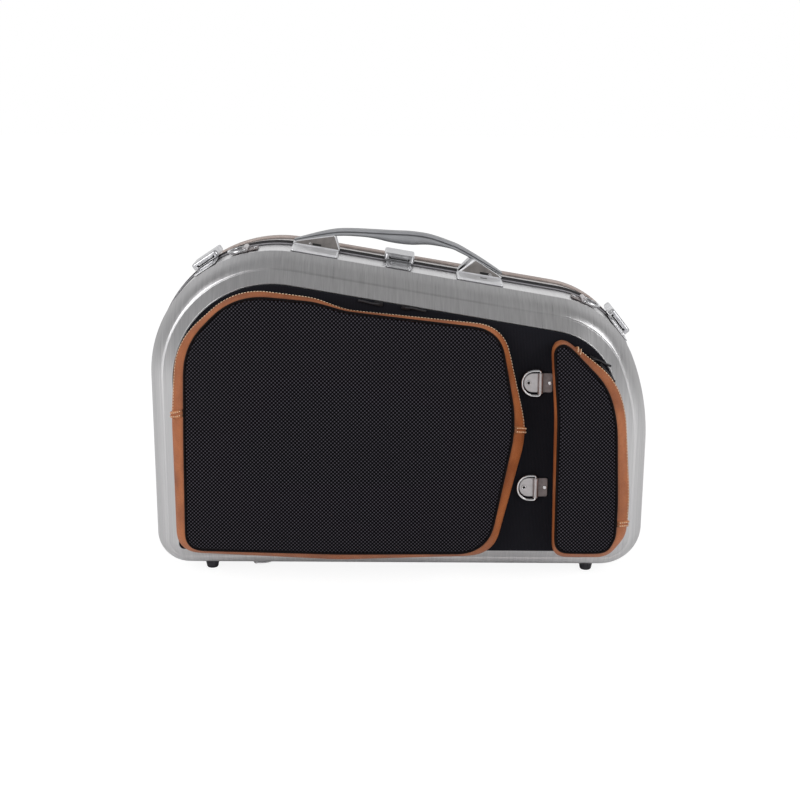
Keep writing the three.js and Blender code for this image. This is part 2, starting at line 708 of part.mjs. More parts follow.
// Latches: a base with two ears on the rear shell, a hooked lever on a pin, a keeper on the front shell
function latch(name, frame) {
  const half = LATCH_WIDTH / 2;
  const leverFront = -LATCH_FRONT;
  const leverBack = leverFront + LATCH_LENGTH;
  const pivot = leverBack - LATCH_PIVOT_BACK;
  const wallLow = SEAL_PROUD + RUNNING_GAP;
  const topLow = LATCH_HEIGHT - LATCH_SHEET;
  const shell = block([-half, leverFront, wallLow], [half, leverBack, LATCH_HEIGHT]);
  const room = block(
    [LATCH_SHEET - half, leverFront + LATCH_SHEET, wallLow - OVERRUN],
    [half - LATCH_SHEET, leverBack + OVERRUN, topLow],
  );
  const window = block(
    [WINDOW_MARGIN - half, leverFront - OVERRUN, wallLow + LATCH_SHEET],
    [half - WINDOW_MARGIN, leverFront + LATCH_SHEET + OVERRUN, topLow - GAP],
  );
  const pinBore = bar("x", LATCH_PIN_RADIUS + GAP, -half - OVERRUN, half + OVERRUN);
  pinBore.translate(0, pivot, LATCH_PIVOT_HEIGHT);
  const heel = block(
    [-half - OVERRUN, pivot, wallLow - OVERRUN],
    [half + OVERRUN, leverBack + OVERRUN, LATCH_PIVOT_HEIGHT - LATCH_PIN_RADIUS - GAP - LATCH_SHEET / 2],
  );
  piece(`latch_lever_${name}`, cutFrom(shell, room, window, pinBore, heel), CHROME, frame);

  const earOut = half - LATCH_SHEET - RUNNING_GAP;
  const plateFront = SEAL_WIDTH + GAP;
  const plateTop = GAP + LATCH_SHEET;
  const base = block([-earOut, plateFront, GAP], [earOut, leverBack, plateTop]);
  const earProfile = [
    [plateFront, GAP],
    [leverBack, GAP],
    [leverBack, plateTop],
    ...arc([pivot, LATCH_PIVOT_HEIGHT], EAR_RADIUS, 0, 180, CORNER_STEPS),
    [plateFront, plateTop],
  ];
  const ears = [-1, 1].map((side) => {
    const across = [side * earOut, side * (earOut - LATCH_SHEET)].sort((a, b) => a - b);
    return drawnAlongX(earProfile, ...across);
  });
  const earBore = bar("x", LATCH_PIN_RADIUS + GAP, -half, half);
  earBore.translate(0, pivot, LATCH_PIVOT_HEIGHT);
  piece(`latch_base_${name}`, cutFrom(joinAll(base, ...ears), earBore), CHROME, frame);
  const pin = bar("x", LATCH_PIN_RADIUS, GAP - half, half - GAP);
  piece(`latch_pin_${name}`, pin.translate(0, pivot, LATCH_PIVOT_HEIGHT), CHROME, frame);

  const keeperHalf = KEEPER_WIDTH / 2;
  const lipFront = leverFront + LATCH_SHEET + GAP;
  const lipBack = -SEAL_WIDTH - GAP;
  const keeperFront = MOUNT_FRONT_MARGIN - FRONT_FLANK;
  const keeper = block([-keeperHalf, keeperFront, GAP], [keeperHalf, lipBack, GAP + KEEPER_THICK]);
  const lip = block([-keeperHalf, lipFront, GAP], [keeperHalf, lipBack, KEEPER_LIP]);
  piece(`latch_keeper_${name}`, joinAll(keeper, lip), CHROME, frame);
}

latch("left", onArc(topLeftCentre, TOP_LEFT_RADIUS, LATCH_LEFT_DEG));
latch("centre", onTop(LATCH_PLACE_SHARE));
latch("right", onArc(shoulderCentre, SHOULDER_RADIUS, LATCH_RIGHT_DEG));

// Strap rings. In their own frame the knuckle runs along Y, the ring lies towards -X and Z is outwards.
const ringAxis = GAP + KNUCKLE_RADIUS;

function wireRing() {
  const corners = [
    [0, -RING_SPAN / 2, RING_CORNER],
    [0, RING_SPAN / 2, RING_CORNER],
    [-RING_REACH, RING_SPAN / 2, RING_ROUND],
    [-RING_REACH, -RING_SPAN / 2, RING_ROUND],
  ];
  const path = roundedOutline(corners, RING_STEPS).map(([x, y]) => new THREE.Vector2(x, y));
  const rings = path.map((point, i) => {
    const before = point.clone().sub(path.at(i - 1)).normalize();
    const after = path[(i + 1) % path.length].clone().sub(point).normalize();
    const along = before.add(after).normalize();
    return Array.from({ length: WIRE_SIDES }, (_, j) => {
      const angle = (2 * Math.PI * j) / WIRE_SIDES;
      const across = RING_WIRE * Math.cos(angle);
      return new THREE.Vector3(
        point.x - along.y * across,
        point.y + along.x * across,
        ringAxis + RING_WIRE * Math.sin(angle),
      );
    });
  });
  return loft(rings, true);
}

function ringPlate() {
  const half = RING_PLATE_SPAN / 2;
  const corner = half * 0.9;
  const lobes = [
    [RING_TAIL, -half, corner / 2],
    [RING_TAIL, half, corner / 2],
    [-RING_LOBE, half, corner],
    [-RING_LOBE, -half, corner],
  ];
  const shape = roundedOutline(lobes, RING_STEPS);
  const level = (z) => shape.map(([x, y]) => new THREE.Vector3(x, y, z));
  const plate = loft([level(GAP), level(GAP + RING_PLATE_THICK)]);
  const knuckle = bar("y", KNUCKLE_RADIUS, -half, half).translate(0, 0, ringAxis);
  const bore = bar("y", RING_WIRE + RUNNING_GAP, -half - OVERRUN, half + OVERRUN).translate(0, 0, ringAxis);
  const rivets = [RIVET_MARGIN - RING_LOBE, RING_TAIL - RIVET_MARGIN].map((x) =>
    bar("z", RIVET_RADIUS, GAP, GAP + RING_PLATE_THICK + RIVET_HEIGHT).translate(x, 0, 0),
  );
  return cutFrom(joinAll(plate, knuckle, ...rivets), bore);
}

function strapRing(name, frame) {
  piece(`ring_plate_${name}`, ringPlate(), CHROME, frame);
  piece(`strap_ring_${name}`, wireRing(), CHROME, frame);
}

// On the front panel: the local Z points to the front and the knuckle stands upright
function panelRing(name, shares) {
  const frame = new THREE.Group();
  const [x, z] = onPanel(shares);
  frame.position.set(x, panelFace, z);
  frame.rotation.x = Math.PI / 2;
  root.add(frame);
  strapRing(name, frame);
}

// On the flank: moved to the front, and turned round where the ring lies the other way
function flankRing(name, frame, turned) {
  const seat = new THREE.Group();
  seat.position.y = -FLANK_RING_BACK;
  seat.rotation.z = turned ? Math.PI : 0;
  frame.add(seat);
  strapRing(name, seat);
}

panelRing("upper", RING_UPPER_SHARES);
panelRing("lower", RING_LOWER_SHARES);
flankRing("left", onArc(topLeftCentre, TOP_LEFT_RADIUS, RING_LEFT_DEG), false);
flankRing("right", onArc(shoulderCentre, SHOULDER_RADIUS, RING_RIGHT_DEG), true);
flankRing("under", flankFrame([(RING_UNDER_SHARE * CASE_WIDTH) / 2, 0], 270), false);

// Hinges: two leaves with knuckles on one pin, hung below the seal
const hingeDrop = SEAL_PROUD + GAP + HINGE_RADIUS;

function hingeLeaf(side, knuckles) {
  const plateNear = SEAL_WIDTH + GAP;
  const top = -GAP;
  const low = top - HINGE_LEAF_THICK;
  const neckTop = -SEAL_PROUD - GAP;
  const plateProfile = [
    [side * plateNear, top],
    [side * (plateNear + HINGE_LEAF), top],
    [side * (plateNear + HINGE_LEAF), low],
    [side * (plateNear + HINGE_LEAF_THICK), low],
    [side * (plateNear + HINGE_LEAF_THICK), neckTop - HINGE_LEAF_THICK],
    [side * plateNear, neckTop - HINGE_LEAF_THICK],
  ];
  const neckProfile = [
    [0, neckTop],
    [side * (plateNear + HINGE_LEAF_THICK), neckTop],
    [side * (plateNear + HINGE_LEAF_THICK), neckTop - HINGE_LEAF_THICK],
    [0, neckTop - HINGE_LEAF_THICK],
  ];
  const ordered = (profile) => (side > 0 ? [...profile].reverse() : profile);
  const half = HINGE_WIDTH / 2;
  const step = HINGE_WIDTH / HINGE_KNUCKLES;
  const parts = [drawnAlongX(ordered(plateProfile), -half, half)];
  for (const i of knuckles) {
    const from = -half + i * step + (i > 0 ? GAP / 2 : 0);
    const to = -half + (i + 1) * step - (i < HINGE_KNUCKLES - 1 ? GAP / 2 : 0);
    parts.push(drawnAlongX(ordered(neckProfile), from, to));
    parts.push(bar("x", HINGE_RADIUS, from, to).translate(0, 0, -hingeDrop));
  }
  const bore = bar("x", HINGE_PIN_RADIUS + GAP, -half - OVERRUN, half + OVERRUN).translate(0, 0, -hingeDrop);
  return cutFrom(joinAll(...parts), bore);
}

for (const [name, share] of Object.entries(HINGE_PLACE_SHARES)) {
  const frame = new THREE.Group();
  frame.position.x = (share * CASE_WIDTH) / 2;
  root.add(frame);
  const all = Array.from({ length: HINGE_KNUCKLES }, (_, i) => i);
  piece(`hinge_leaf_rear_${name}`, hingeLeaf(1, all.filter((i) => i % 2 === 0)), CHROME, frame);
  piece(`hinge_leaf_front_${name}`, hingeLeaf(-1, all.filter((i) => i % 2 === 1)), CHROME, frame);
  const pin = bar("x", HINGE_PIN_RADIUS, -HINGE_WIDTH / 2, HINGE_WIDTH / 2).translate(0, 0, -hingeDrop);
  piece(`hinge_pin_${name}`, pin, CHROME, frame);
}

// Feet: seat is the height of a foot's top, which the rear shell's draft lifts a little
function foot(seat) {
  const corner = new THREE.Vector2(FOOT_TIP_RADIUS - FOOT_ROUND, FOOT_ROUND - FOOT_HEIGHT);
  const tip = Array.from({ length: CORNER_STEPS + 1 }, (_, i) => {
    const angle = (-Math.PI / 2) * (1 - i / CORNER_STEPS);
    return new THREE.Vector2(FOOT_ROUND, 0).rotateAround(new THREE.Vector2(), angle).add(corner);
  });
  const profile = [
    new THREE.Vector2(0, -FOOT_HEIGHT),
    ...tip,
    new THREE.Vector2(FOOT_RADIUS, seat),
    new THREE.Vector2(0, seat),
  ];
  return new THREE.LatheGeometry(profile, ROUND_SIDES).rotateX(Math.PI / 2);
}

const footRows = [
  ["front", -FOOT_FRONT_BACK, -GAP],
  ["rear", FOOT_REAR_BACK, draftAt(FOOT_REAR_BACK - FOOT_RADIUS) - GAP],
];
for (const [name, side] of [["left", -1], ["right", 1]]) {
  for (const [row, y, seat] of footRows) {
    const mesh = piece(`foot_${row}_${name}`, foot(seat), RUBBER);
    mesh.position.set((side * FOOT_PLACE_SHARE * CASE_WIDTH) / 2, y, 0);
  }
}

// The case stands on its feet with its box centred
const foremost = pocketFront - GAP - FACE_THICK - FACE_CROWN * (1 - 0.58 ** 4);
const rearmost = rearRest + BACK_PAD_THICK;
root.position.set(0, -(foremost + rearmost) / 2, FOOT_HEIGHT);

const model = new THREE.Group();
model.add(root);

export default model;
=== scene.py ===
import json
import math

import bmesh
import bpy
from mathutils import Matrix, Vector


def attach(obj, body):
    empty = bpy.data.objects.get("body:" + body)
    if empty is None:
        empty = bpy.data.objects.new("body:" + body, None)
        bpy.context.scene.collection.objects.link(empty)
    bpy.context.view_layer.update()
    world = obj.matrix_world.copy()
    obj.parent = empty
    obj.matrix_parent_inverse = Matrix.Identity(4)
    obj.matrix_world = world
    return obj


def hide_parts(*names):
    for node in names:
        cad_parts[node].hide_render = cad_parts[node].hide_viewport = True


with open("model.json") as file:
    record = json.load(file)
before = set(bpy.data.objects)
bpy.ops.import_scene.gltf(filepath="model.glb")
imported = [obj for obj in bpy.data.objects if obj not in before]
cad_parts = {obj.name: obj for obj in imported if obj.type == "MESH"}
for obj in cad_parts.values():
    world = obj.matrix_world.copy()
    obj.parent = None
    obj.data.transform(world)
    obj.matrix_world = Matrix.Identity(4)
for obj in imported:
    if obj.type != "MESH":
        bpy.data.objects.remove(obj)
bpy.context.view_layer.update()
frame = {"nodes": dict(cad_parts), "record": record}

MM = 0.001
PARTING_Y = 12.124
FOOT_HEIGHT = 12.0


def place(x, y, z):
    """A point of the case's own frame, in the frame's metres."""
    return Vector((x, y + PARTING_Y, z + FOOT_HEIGHT)) * MM


# Outline and section of the case

HALF_WIDTH = 279.0
HEIGHT = 365.0
TOP_LEFT_RADIUS = 141.0
TOP_SLOPE = math.radians(9.5)
SHOULDER_RADIUS = 109.0
SIDE_RADIUS = 260.0
SIDE_ARC_START = 149.0
LOW_LEFT_RADIUS = 36.0
LOW_RIGHT_RADIUS = 46.0

REAR_FLANK = 61.0
REAR_DRAFT = 2.5
PANEL_FACE = -91.0
SEAL_WIDTH = 9.0
# Width of the painted highlight along the seal's front edge, in millimetres
SEAL_HIGHLIGHT_WIDTH = 1.4

TOP_NORMAL = math.pi / 2 - TOP_SLOPE
TOP_LEFT_CENTRE = (TOP_LEFT_RADIUS - HALF_WIDTH, HEIGHT - TOP_LEFT_RADIUS)
SIDE_CENTRE = (HALF_WIDTH - SIDE_RADIUS, SIDE_ARC_START)
TOP_REACH = (
    math.cos(TOP_NORMAL) * TOP_LEFT_CENTRE[0] + math.sin(TOP_NORMAL) * TOP_LEFT_CENTRE[1] + TOP_LEFT_RADIUS
)
SIDE_REACH = math.cos(TOP_NORMAL) * SIDE_CENTRE[0] + math.sin(TOP_NORMAL) * SIDE_CENTRE[1]
SHOULDER_TURN = TOP_NORMAL - math.acos(
    (TOP_REACH - SHOULDER_RADIUS - SIDE_REACH) / (SIDE_RADIUS - SHOULDER_RADIUS)
)
SHOULDER_CENTRE = (
    SIDE_CENTRE[0] + (SIDE_RADIUS - SHOULDER_RADIUS) * math.cos(SHOULDER_TURN),
    SIDE_CENTRE[1] + (SIDE_RADIUS - SHOULDER_RADIUS) * math.sin(SHOULDER_TURN),
)


def arc(centre, radius, start, end, steps):
    """Points of an arc, from one angle to another, in radians."""
    return [
        (
            centre[0] + radius * math.cos(start + (end - start) * i / steps),
            centre[1] + radius * math.sin(start + (end - start) * i / steps),
        )
        for i in range(steps + 1)
    ]


def straight(start, end, steps):
    """Points between two points, without the two."""
    return [
        (start[0] + (end[0] - start[0]) * i / steps, start[1] + (end[1] - start[1]) * i / steps)
        for i in range(1, steps)
    ]


def outline(inset):
    """The case's outline seen from the front, drawn in by an inset, with as many points for each inset."""
    side = HALF_WIDTH - inset
    right = max(LOW_RIGHT_RADIUS - inset, 3.0)
    left = max(LOW_LEFT_RADIUS - inset, 3.0)
    low_right = arc((side - right, inset + right), right, -math.pi / 2, 0, 14)
    flank_right = arc(SIDE_CENTRE, SIDE_RADIUS - inset, 0, SHOULDER_TURN, 14)
    shoulder = arc(SHOULDER_CENTRE, SHOULDER_RADIUS - inset, SHOULDER_TURN, TOP_NORMAL, 26)[1:]
    top_left = arc(TOP_LEFT_CENTRE, TOP_LEFT_RADIUS - inset, TOP_NORMAL, math.pi, 36)
    low_left = arc((left - side, inset + left), left, math.pi, 1.5 * math.pi, 12)
    return [
        *low_right,
        *straight(low_right[-1], flank_right[0], 6),
        *flank_right,
        *shoulder,
        *straight(shoulder[-1], top_left[0], 14),
        *top_left,
        *straight(top_left[-1], low_left[0], 10),
        *low_left,
        *straight(low_left[-1], low_right[0], 20),
    ]


def ring_at(y, inset):
    """The outline at one depth, as points of the frame."""
    return [place(x, y, z) for x, z in outline(inset)]


def rounded(points, radii, steps=4):
    """An open run of 2-D points whose inner corners are rounded with the radius given for each."""
    run = [Vector(points[0])]
    for i in range(1, len(points) - 1):
        here = Vector(points[i])
        radius = radii.get(i, 0)
        before = (Vector(points[i - 1]) - here).normalized()
        after = (Vector(points[i + 1]) - here).normalized()
        half = before.angle(after) / 2
        if radius <= 0 or half > math.radians(89.5):
            run.append(here)
            continue
        centre = here + (before + after).normalized() * radius / math.sin(half)
        start = here + before * radius / math.tan(half) - centre
        end = here + after * radius / math.tan(half) - centre
        turn = math.atan2(start.x * end.y - start.y * end.x, start.dot(end))
        for k in range(steps + 1):
            run.append(centre + Matrix.Rotation(turn * k / steps, 2) @ start)
    run.append(Vector(points[-1]))
    return [tuple(p) for p in run]


# Mesh helpers


def linked(name, data):
    """A new object in the scene."""
    made = bpy.data.objects.new(name, data)
    bpy.context.scene.collection.objects.link(made)
    return made


def finished(name, bm, body, material, replaced=()):
    """A piece from its bmesh: it rides on a body, hides the CAD nodes it stands for and has a material."""
    mesh = bpy.data.meshes.new(name)
    for face in bm.faces:
        face.smooth = True
    bm.to_mesh(mesh)
    bm.free()
    piece = linked(name, mesh)
    mesh.materials.append(material)
    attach(piece, body)
    if replaced:
        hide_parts(*replaced)
    return piece


def crisp(piece):
    """Keeps a hard piece's flat faces flat in the shading."""
    weighted = piece.modifiers.new("flats", "WEIGHTED_NORMAL")
    weighted.keep_sharp = True
    return piece


def lofted(rings, joined=False):
    """A bmesh whose first ring of points is extruded to each next one. Its UV map runs along the ring in X
    and from ring to ring in Y, in metres. Its ends are filled, or its last ring meets its first."""
    bm = bmesh.new()
    number = bm.verts.layers.int.new("number")
    across = bm.verts.layers.float.new("across")
    count = len(rings[0])
    first = [bm.verts.new(p) for p in rings[0]]
    for i, vert in enumerate(first):
        vert[number] = i
    first_edges = [bm.edges.new((first[i - 1], first[i])) for i in range(count)]
    edges = first_edges
    reach = 0.0
    for before, ring in zip(rings, rings[1:]):
        reach += sorted((p - q).length for p, q in zip(before, ring))[count // 2]
        grown = bmesh.ops.extrude_edge_only(bm, edges=edges)["geom"]
        fresh = {g for g in grown if isinstance(g, bmesh.types.BMVert)}
        for vert in fresh:
            vert.co = ring[vert[number]]
            vert[across] = reach
        edges = [g for g in grown if isinstance(g, bmesh.types.BMEdge) and set(g.verts) <= fresh]
    if joined:
        bmesh.ops.bridge_loops(bm, edges=first_edges + edges)
    else:
        bmesh.ops.contextual_create(bm, geom=first_edges)
        bmesh.ops.contextual_create(bm, geom=edges)
    lengths = [0.0]
    for i in range(count):
        lengths.append(lengths[-1] + (rings[0][i] - rings[0][(i + 1) % count]).length)
    uv = bm.loops.layers.uv.new("along")
    for face in bm.faces:
        numbers = [loop.vert[number] for loop in face.loops]
        wraps = 0 in numbers and count - 1 in numbers and len(numbers) <= 4
        for loop in face.loops:
            i = loop.vert[number]
            loop[uv].uv = (lengths[count] if wraps and i == 0 else lengths[i], loop.vert[across])
    bmesh.ops.recalc_face_normals(bm, faces=bm.faces)
    return bm


def tube(path, radius, sides=8, joined=False):
    """A round tube along a path of frame points. The radius is in millimetres, or one for each point."""
    count = len(path)
    radii = radius if isinstance(radius, (list, tuple)) else [radius] * count
    rings = []
    across = None
    for i, point in enumerate(path):
        if joined:
            way = (path[(i + 1) % count] - path[i - 1]).normalized()
        else:
            way = (path[min(i + 1, count - 1)] - path[max(i - 1, 0)]).normalized()
        across = way.cross(Vector((0, 1, 0)) if across is None else way.cross(across) * -1.0)
        if across.length < 1e-4:
            across = way.cross(Vector((1, 0, 0)))
        across.normalize()
        up = way.cross(across).normalized()
        rings.append(
            [
                point + (across * math.cos(a) + up * math.sin(a)) * radii[i] * MM
                for a in turns(sides)
            ]
        )
    return lofted(rings, joined)


def turns(count):
    """Equal steps round a circle, in radians."""
    return [2 * math.pi * k / count for k in range(count)]


# Shader helpers


class Shader:
    """Short words for building a node tree: node(), feed() and the small maths that materials share."""

    def __init__(self, tree):
        self.tree = tree

    def node(self, kind, **settings):
        made = self.tree.nodes.new(kind)
        for key, value in settings.items():
            setattr(made, key, value)
        return made

    def feed(self, socket, value):
        if isinstance(value, bpy.types.NodeSocket):
            self.tree.links.new(value, socket)
        else:
            socket.default_value = value

    def math(self, operation, first, second=0.0, clamp=False):
        made = self.node("ShaderNodeMath", operation=operation, use_clamp=clamp)
        self.feed(made.inputs[0], first)
        self.feed(made.inputs[1], second)
        return made.outputs[0]

    def ranged(self, value, low, high, to_low=0.0, to_high=1.0, smooth=False):
        made = self.node("ShaderNodeMapRange", interpolation_type="SMOOTHSTEP" if smooth else "LINEAR")
        for socket, number in zip(made.inputs, (value, low, high, to_low, to_high)):
            self.feed(socket, number)
        return made.outputs[0]

    def mix(self, factor, first, second):
        made = self.node("ShaderNodeMix", data_type="RGBA")
        self.feed(made.inputs[0], factor)
        self.feed(made.inputs[6], first)
        self.feed(made.inputs[7], second)
        return made.outputs[2]

    def noise(self, vector, scale, detail=2.0, roughness=0.5):
        made = self.node("ShaderNodeTexNoise")
        self.feed(made.inputs["Vector"], vector)
        for key, number in zip(("Scale", "Detail", "Roughness"), (scale, detail, roughness)):
            self.feed(made.inputs[key], number)
        return made.outputs["Fac"]

    def split(self, vector):
        made = self.node("ShaderNodeSeparateXYZ")
        self.feed(made.inputs[0], vector)
        return made.outputs

    def stretched(self, vector, scale):
        made = self.node("ShaderNodeMapping")
        self.feed(made.inputs["Vector"], vector)
        self.feed(made.inputs["Scale"], scale)
        return made.outputs[0]

    def bump(self, height, strength, distance):
        made = self.node("ShaderNodeBump")
        self.feed(made.inputs["Height"], height)
        self.feed(made.inputs["Strength"], strength)
        self.feed(made.inputs["Distance"], distance)
        return made.outputs[0]


def effect(name, inputs, outputs, build):
    """A shader node group with named inputs and outputs, filled by build(shader, inputs, outputs)."""
    tree = bpy.data.node_groups.new(name, "ShaderNodeTree")
    for socket, (kind, value) in inputs.items():
        made = tree.interface.new_socket(name=socket, in_out="INPUT", socket_type=kind)
        if value is not None:
            made.default_value = value
    for socket, kind in outputs.items():
        tree.interface.new_socket(name=socket, in_out="OUTPUT", socket_type=kind)
    shader = Shader(tree)
    given = shader.node("NodeGroupInput")
    result = shader.node("NodeGroupOutput")
    build(shader, given.outputs, result.inputs)
    return tree


FLOAT = "NodeSocketFloat"
VECTOR = "NodeSocketVector"


def colour(red, green, blue):
    """A colour written as it shows on a screen, from 0 to 255, in the linear values that a shader reads."""
    linear = []
    for value in (red, green, blue):
        share = value / 255
        linear.append(share / 12.92 if value <= 10.31 else ((share + 0.055) / 1.055) ** 2.4)
    return (*linear, 1.0)


def finish_of(name, roughness=0.5, metallic=0.0, specular=0.5, sheen=0.0):
    """A new material with one Principled shader. Gives the material, its shader helper, its surface's
    sockets and its Object coordinates."""
    made = bpy.data.materials.new(name)
    made.use_nodes = True
    shader = Shader(made.node_tree)
    surface = made.node_tree.nodes["Principled BSDF"].inputs
    surface["Roughness"].default_value = roughness
    surface["Metallic"].default_value = metallic
    surface["Specular IOR Level"].default_value = specular
    surface["Sheen Weight"].default_value = sheen
    return made, shader, surface, shader.node("ShaderNodeTexCoord").outputs["Object"]


def placed(shader, tree, **values):
    """An effect group placed in a material with its own values."""
    made = shader.node("ShaderNodeGroup")
    made.node_tree = tree
    for key, value in values.items():
        shader.feed(made.inputs[key.replace("_", " ")], value)
    return made.outputs


# Shared effects


def build_mottle(shader, given, result):
    wide = shader.noise(given["Vector"], given["Scale"], 3.0, 0.55)
    shader.feed(result["Mask"], shader.ranged(wide, 0.3, 0.7))


def build_brushing(shader, given, result):
    fine = shader.noise(shader.stretched(given["Vector"], (1900, 60, 9)), 1.0, 3.0, 0.6)
    broad = shader.noise(shader.stretched(given["Vector"], (420, 25, 3)), 1.0, 2.0, 0.5)
    parts = shader.split(shader.node("ShaderNodeNewGeometry").outputs["Normal"])
    flank = shader.ranged(shader.math("ABSOLUTE", parts[0]), 0.72, 0.9, smooth=True)
    upright = shader.noise(shader.stretched(given["Vector"], (60, 1900, 9)), 1.0, 3.0, 0.6)
    wide = shader.noise(shader.stretched(given["Vector"], (25, 420, 3)), 1.0, 2.0, 0.5)
    fine = shader.math("ADD", fine, shader.math("MULTIPLY", flank, shader.math("SUBTRACT", upright, fine)))
    broad = shader.math("ADD", broad, shader.math("MULTIPLY", flank, shader.math("SUBTRACT", wide, broad)))
    both = shader.math("ADD", shader.math("MULTIPLY", fine, 0.62), shader.math("MULTIPLY", broad, 0.38))
    shader.feed(result["Mask"], shader.ranged(both, 0.3, 0.7))
    shader.feed(result["Height"], both)


def build_grain(shader, given, result):
    cells = shader.node("ShaderNodeTexVoronoi", feature="DISTANCE_TO_EDGE")
    bent = shader.node("ShaderNodeVectorMath", operation="ADD")
    wander = shader.node("ShaderNodeTexNoise")
    shader.feed(wander.inputs["Vector"], given["Vector"])
    shader.feed(wander.inputs["Scale"], shader.math("MULTIPLY", given["Scale"], 0.7))
    small = shader.node("ShaderNodeVectorMath", operation="SCALE")
    shader.feed(small.inputs[0], wander.outputs["Color"])
    shader.feed(small.inputs["Scale"], shader.math("DIVIDE", 0.55, given["Scale"]))
    shader.feed(bent.inputs[0], given["Vector"])
    shader.feed(bent.inputs[1], small.outputs[0])
    shader.feed(cells.inputs["Vector"], bent.outputs[0])
    shader.feed(cells.inputs["Scale"], given["Scale"])
    pebble = shader.ranged(cells.outputs["Distance"], 0.0, 0.22, smooth=True)
    soft = shader.noise(given["Vector"], shader.math("MULTIPLY", given["Scale"], 0.18), 3.0, 0.5)
    shader.feed(result["Mask"], pebble)
    shader.feed(result["Height"], shader.math("ADD", shader.math("MULTIPLY", pebble, 0.6), soft))


def build_threads(shader, given, result):
    parts = shader.split(given["Vector"])
    turn = shader.math("MULTIPLY", given["Per Metre"], 2 * math.pi)
    across = shader.math("SINE", shader.math("MULTIPLY", parts[0], turn))
    up = shader.math("SINE", shader.math("MULTIPLY", parts[1], turn))
    crossing = shader.math("MULTIPLY", across, up)
    over = shader.ranged(crossing, -0.35, 0.95, smooth=True)
    shader.feed(result["Mask"], over)
    shader.feed(result["Height"], shader.math("ABSOLUTE", crossing))


def build_wear(shader, given, result):
    bend = shader.node("ShaderNodeNewGeometry").outputs["Pointiness"]
    edge = shader.ranged(bend, 0.505, 0.56, smooth=True)
    patches = shader.ranged(shader.noise(given["Vector"], 90, 3.0, 0.6), 0.35, 0.7)
    shader.feed(result["Mask"], shader.math("MULTIPLY", edge, patches, clamp=True))


SPOT = {"Vector": (VECTOR, None), "Scale": (FLOAT, 10.0)}
MOTTLE = effect("mottle", SPOT, {"Mask": FLOAT}, build_mottle)
BRUSHING = effect("brushing", {"Vector": (VECTOR, None)}, {"Mask": FLOAT, "Height": FLOAT}, build_brushing)
GRAIN = effect("leather_grain", SPOT, {"Mask": FLOAT, "Height": FLOAT}, build_grain)
THREADS = effect(
    "threads",
    {"Vector": (VECTOR, None), "Per Metre": (FLOAT, 250.0)},
    {"Mask": FLOAT, "Height": FLOAT},
    build_threads,
)
WEAR = effect("edge_wear", {"Vector": (VECTOR, None)}, {"Mask": FLOAT}, build_wear)


def mottled(shader, spot, scale):
    """The mask of soft blotches of a scale."""
    return placed(shader, MOTTLE, Vector=spot, Scale=scale)["Mask"]


# Finishes


def brushed_metal():
    made, shader, surface, spot = finish_of("brushed_metal", 0.3, 1.0)
    brushing = placed(shader, BRUSHING, Vector=spot)
    cloud = mottled(shader, spot, 9.0)
    base = shader.mix(brushing["Mask"], colour(188, 187, 188), colour(222, 221, 221))
    tone = shader.mix(shader.math("MULTIPLY", cloud, 0.25), base, colour(198, 198, 203))
    shader.feed(surface["Base Color"], tone)
    shader.feed(surface["Roughness"], shader.ranged(brushing["Mask"], 0, 1, 0.27, 0.34))
    shader.feed(surface["Normal"], shader.bump(brushing["Height"], 0.12, 0.0002))
    return made


def bright_chrome():
    made, shader, surface, spot = finish_of("bright_chrome", 0.14, 1.0)
    smear = mottled(shader, spot, 60.0)
    wear = placed(shader, WEAR, Vector=spot)
    speck = mottled(shader, spot, 420.0)
    base = shader.mix(smear, colour(200, 200, 203), colour(222, 222, 224))
    tone = shader.mix(shader.math("MULTIPLY", speck, 0.35), base, colour(176, 175, 178))
    shader.feed(surface["Base Color"], shader.mix(wear["Mask"], tone, colour(236, 236, 237)))
    shader.feed(surface["Roughness"], shader.ranged(speck, 0, 1, 0.14, 0.26))
    return made


def satin_nickel():
    made, shader, surface, spot = finish_of("satin_nickel", 0.34, 0.9)
    smear = mottled(shader, spot, 110.0)
    base = shader.mix(smear, colour(176, 172, 173), colour(196, 192, 193))
    shader.feed(surface["Base Color"], base)
    shader.feed(surface["Roughness"], shader.ranged(smear, 0, 1, 0.3, 0.42))
    speck = shader.noise(spot, 1600, 2.0, 0.6)
    shader.feed(surface["Normal"], shader.bump(speck, 0.08, 0.0002))
    return made


def black_rubber():
    made, shader, surface, spot = finish_of("black_rubber", 0.62)
    dust = mottled(shader, spot, 45.0)
    base = shader.mix(dust, colour(38, 36, 41), colour(50, 48, 54))
    shader.feed(surface["Base Color"], base)
    speck = shader.noise(spot, 1300, 2.0, 0.6)
    shader.feed(surface["Roughness"], shader.ranged(speck, 0.3, 0.7, 0.55, 0.72))
    shader.feed(surface["Normal"], shader.bump(speck, 0.15, 0.0002))
    return made


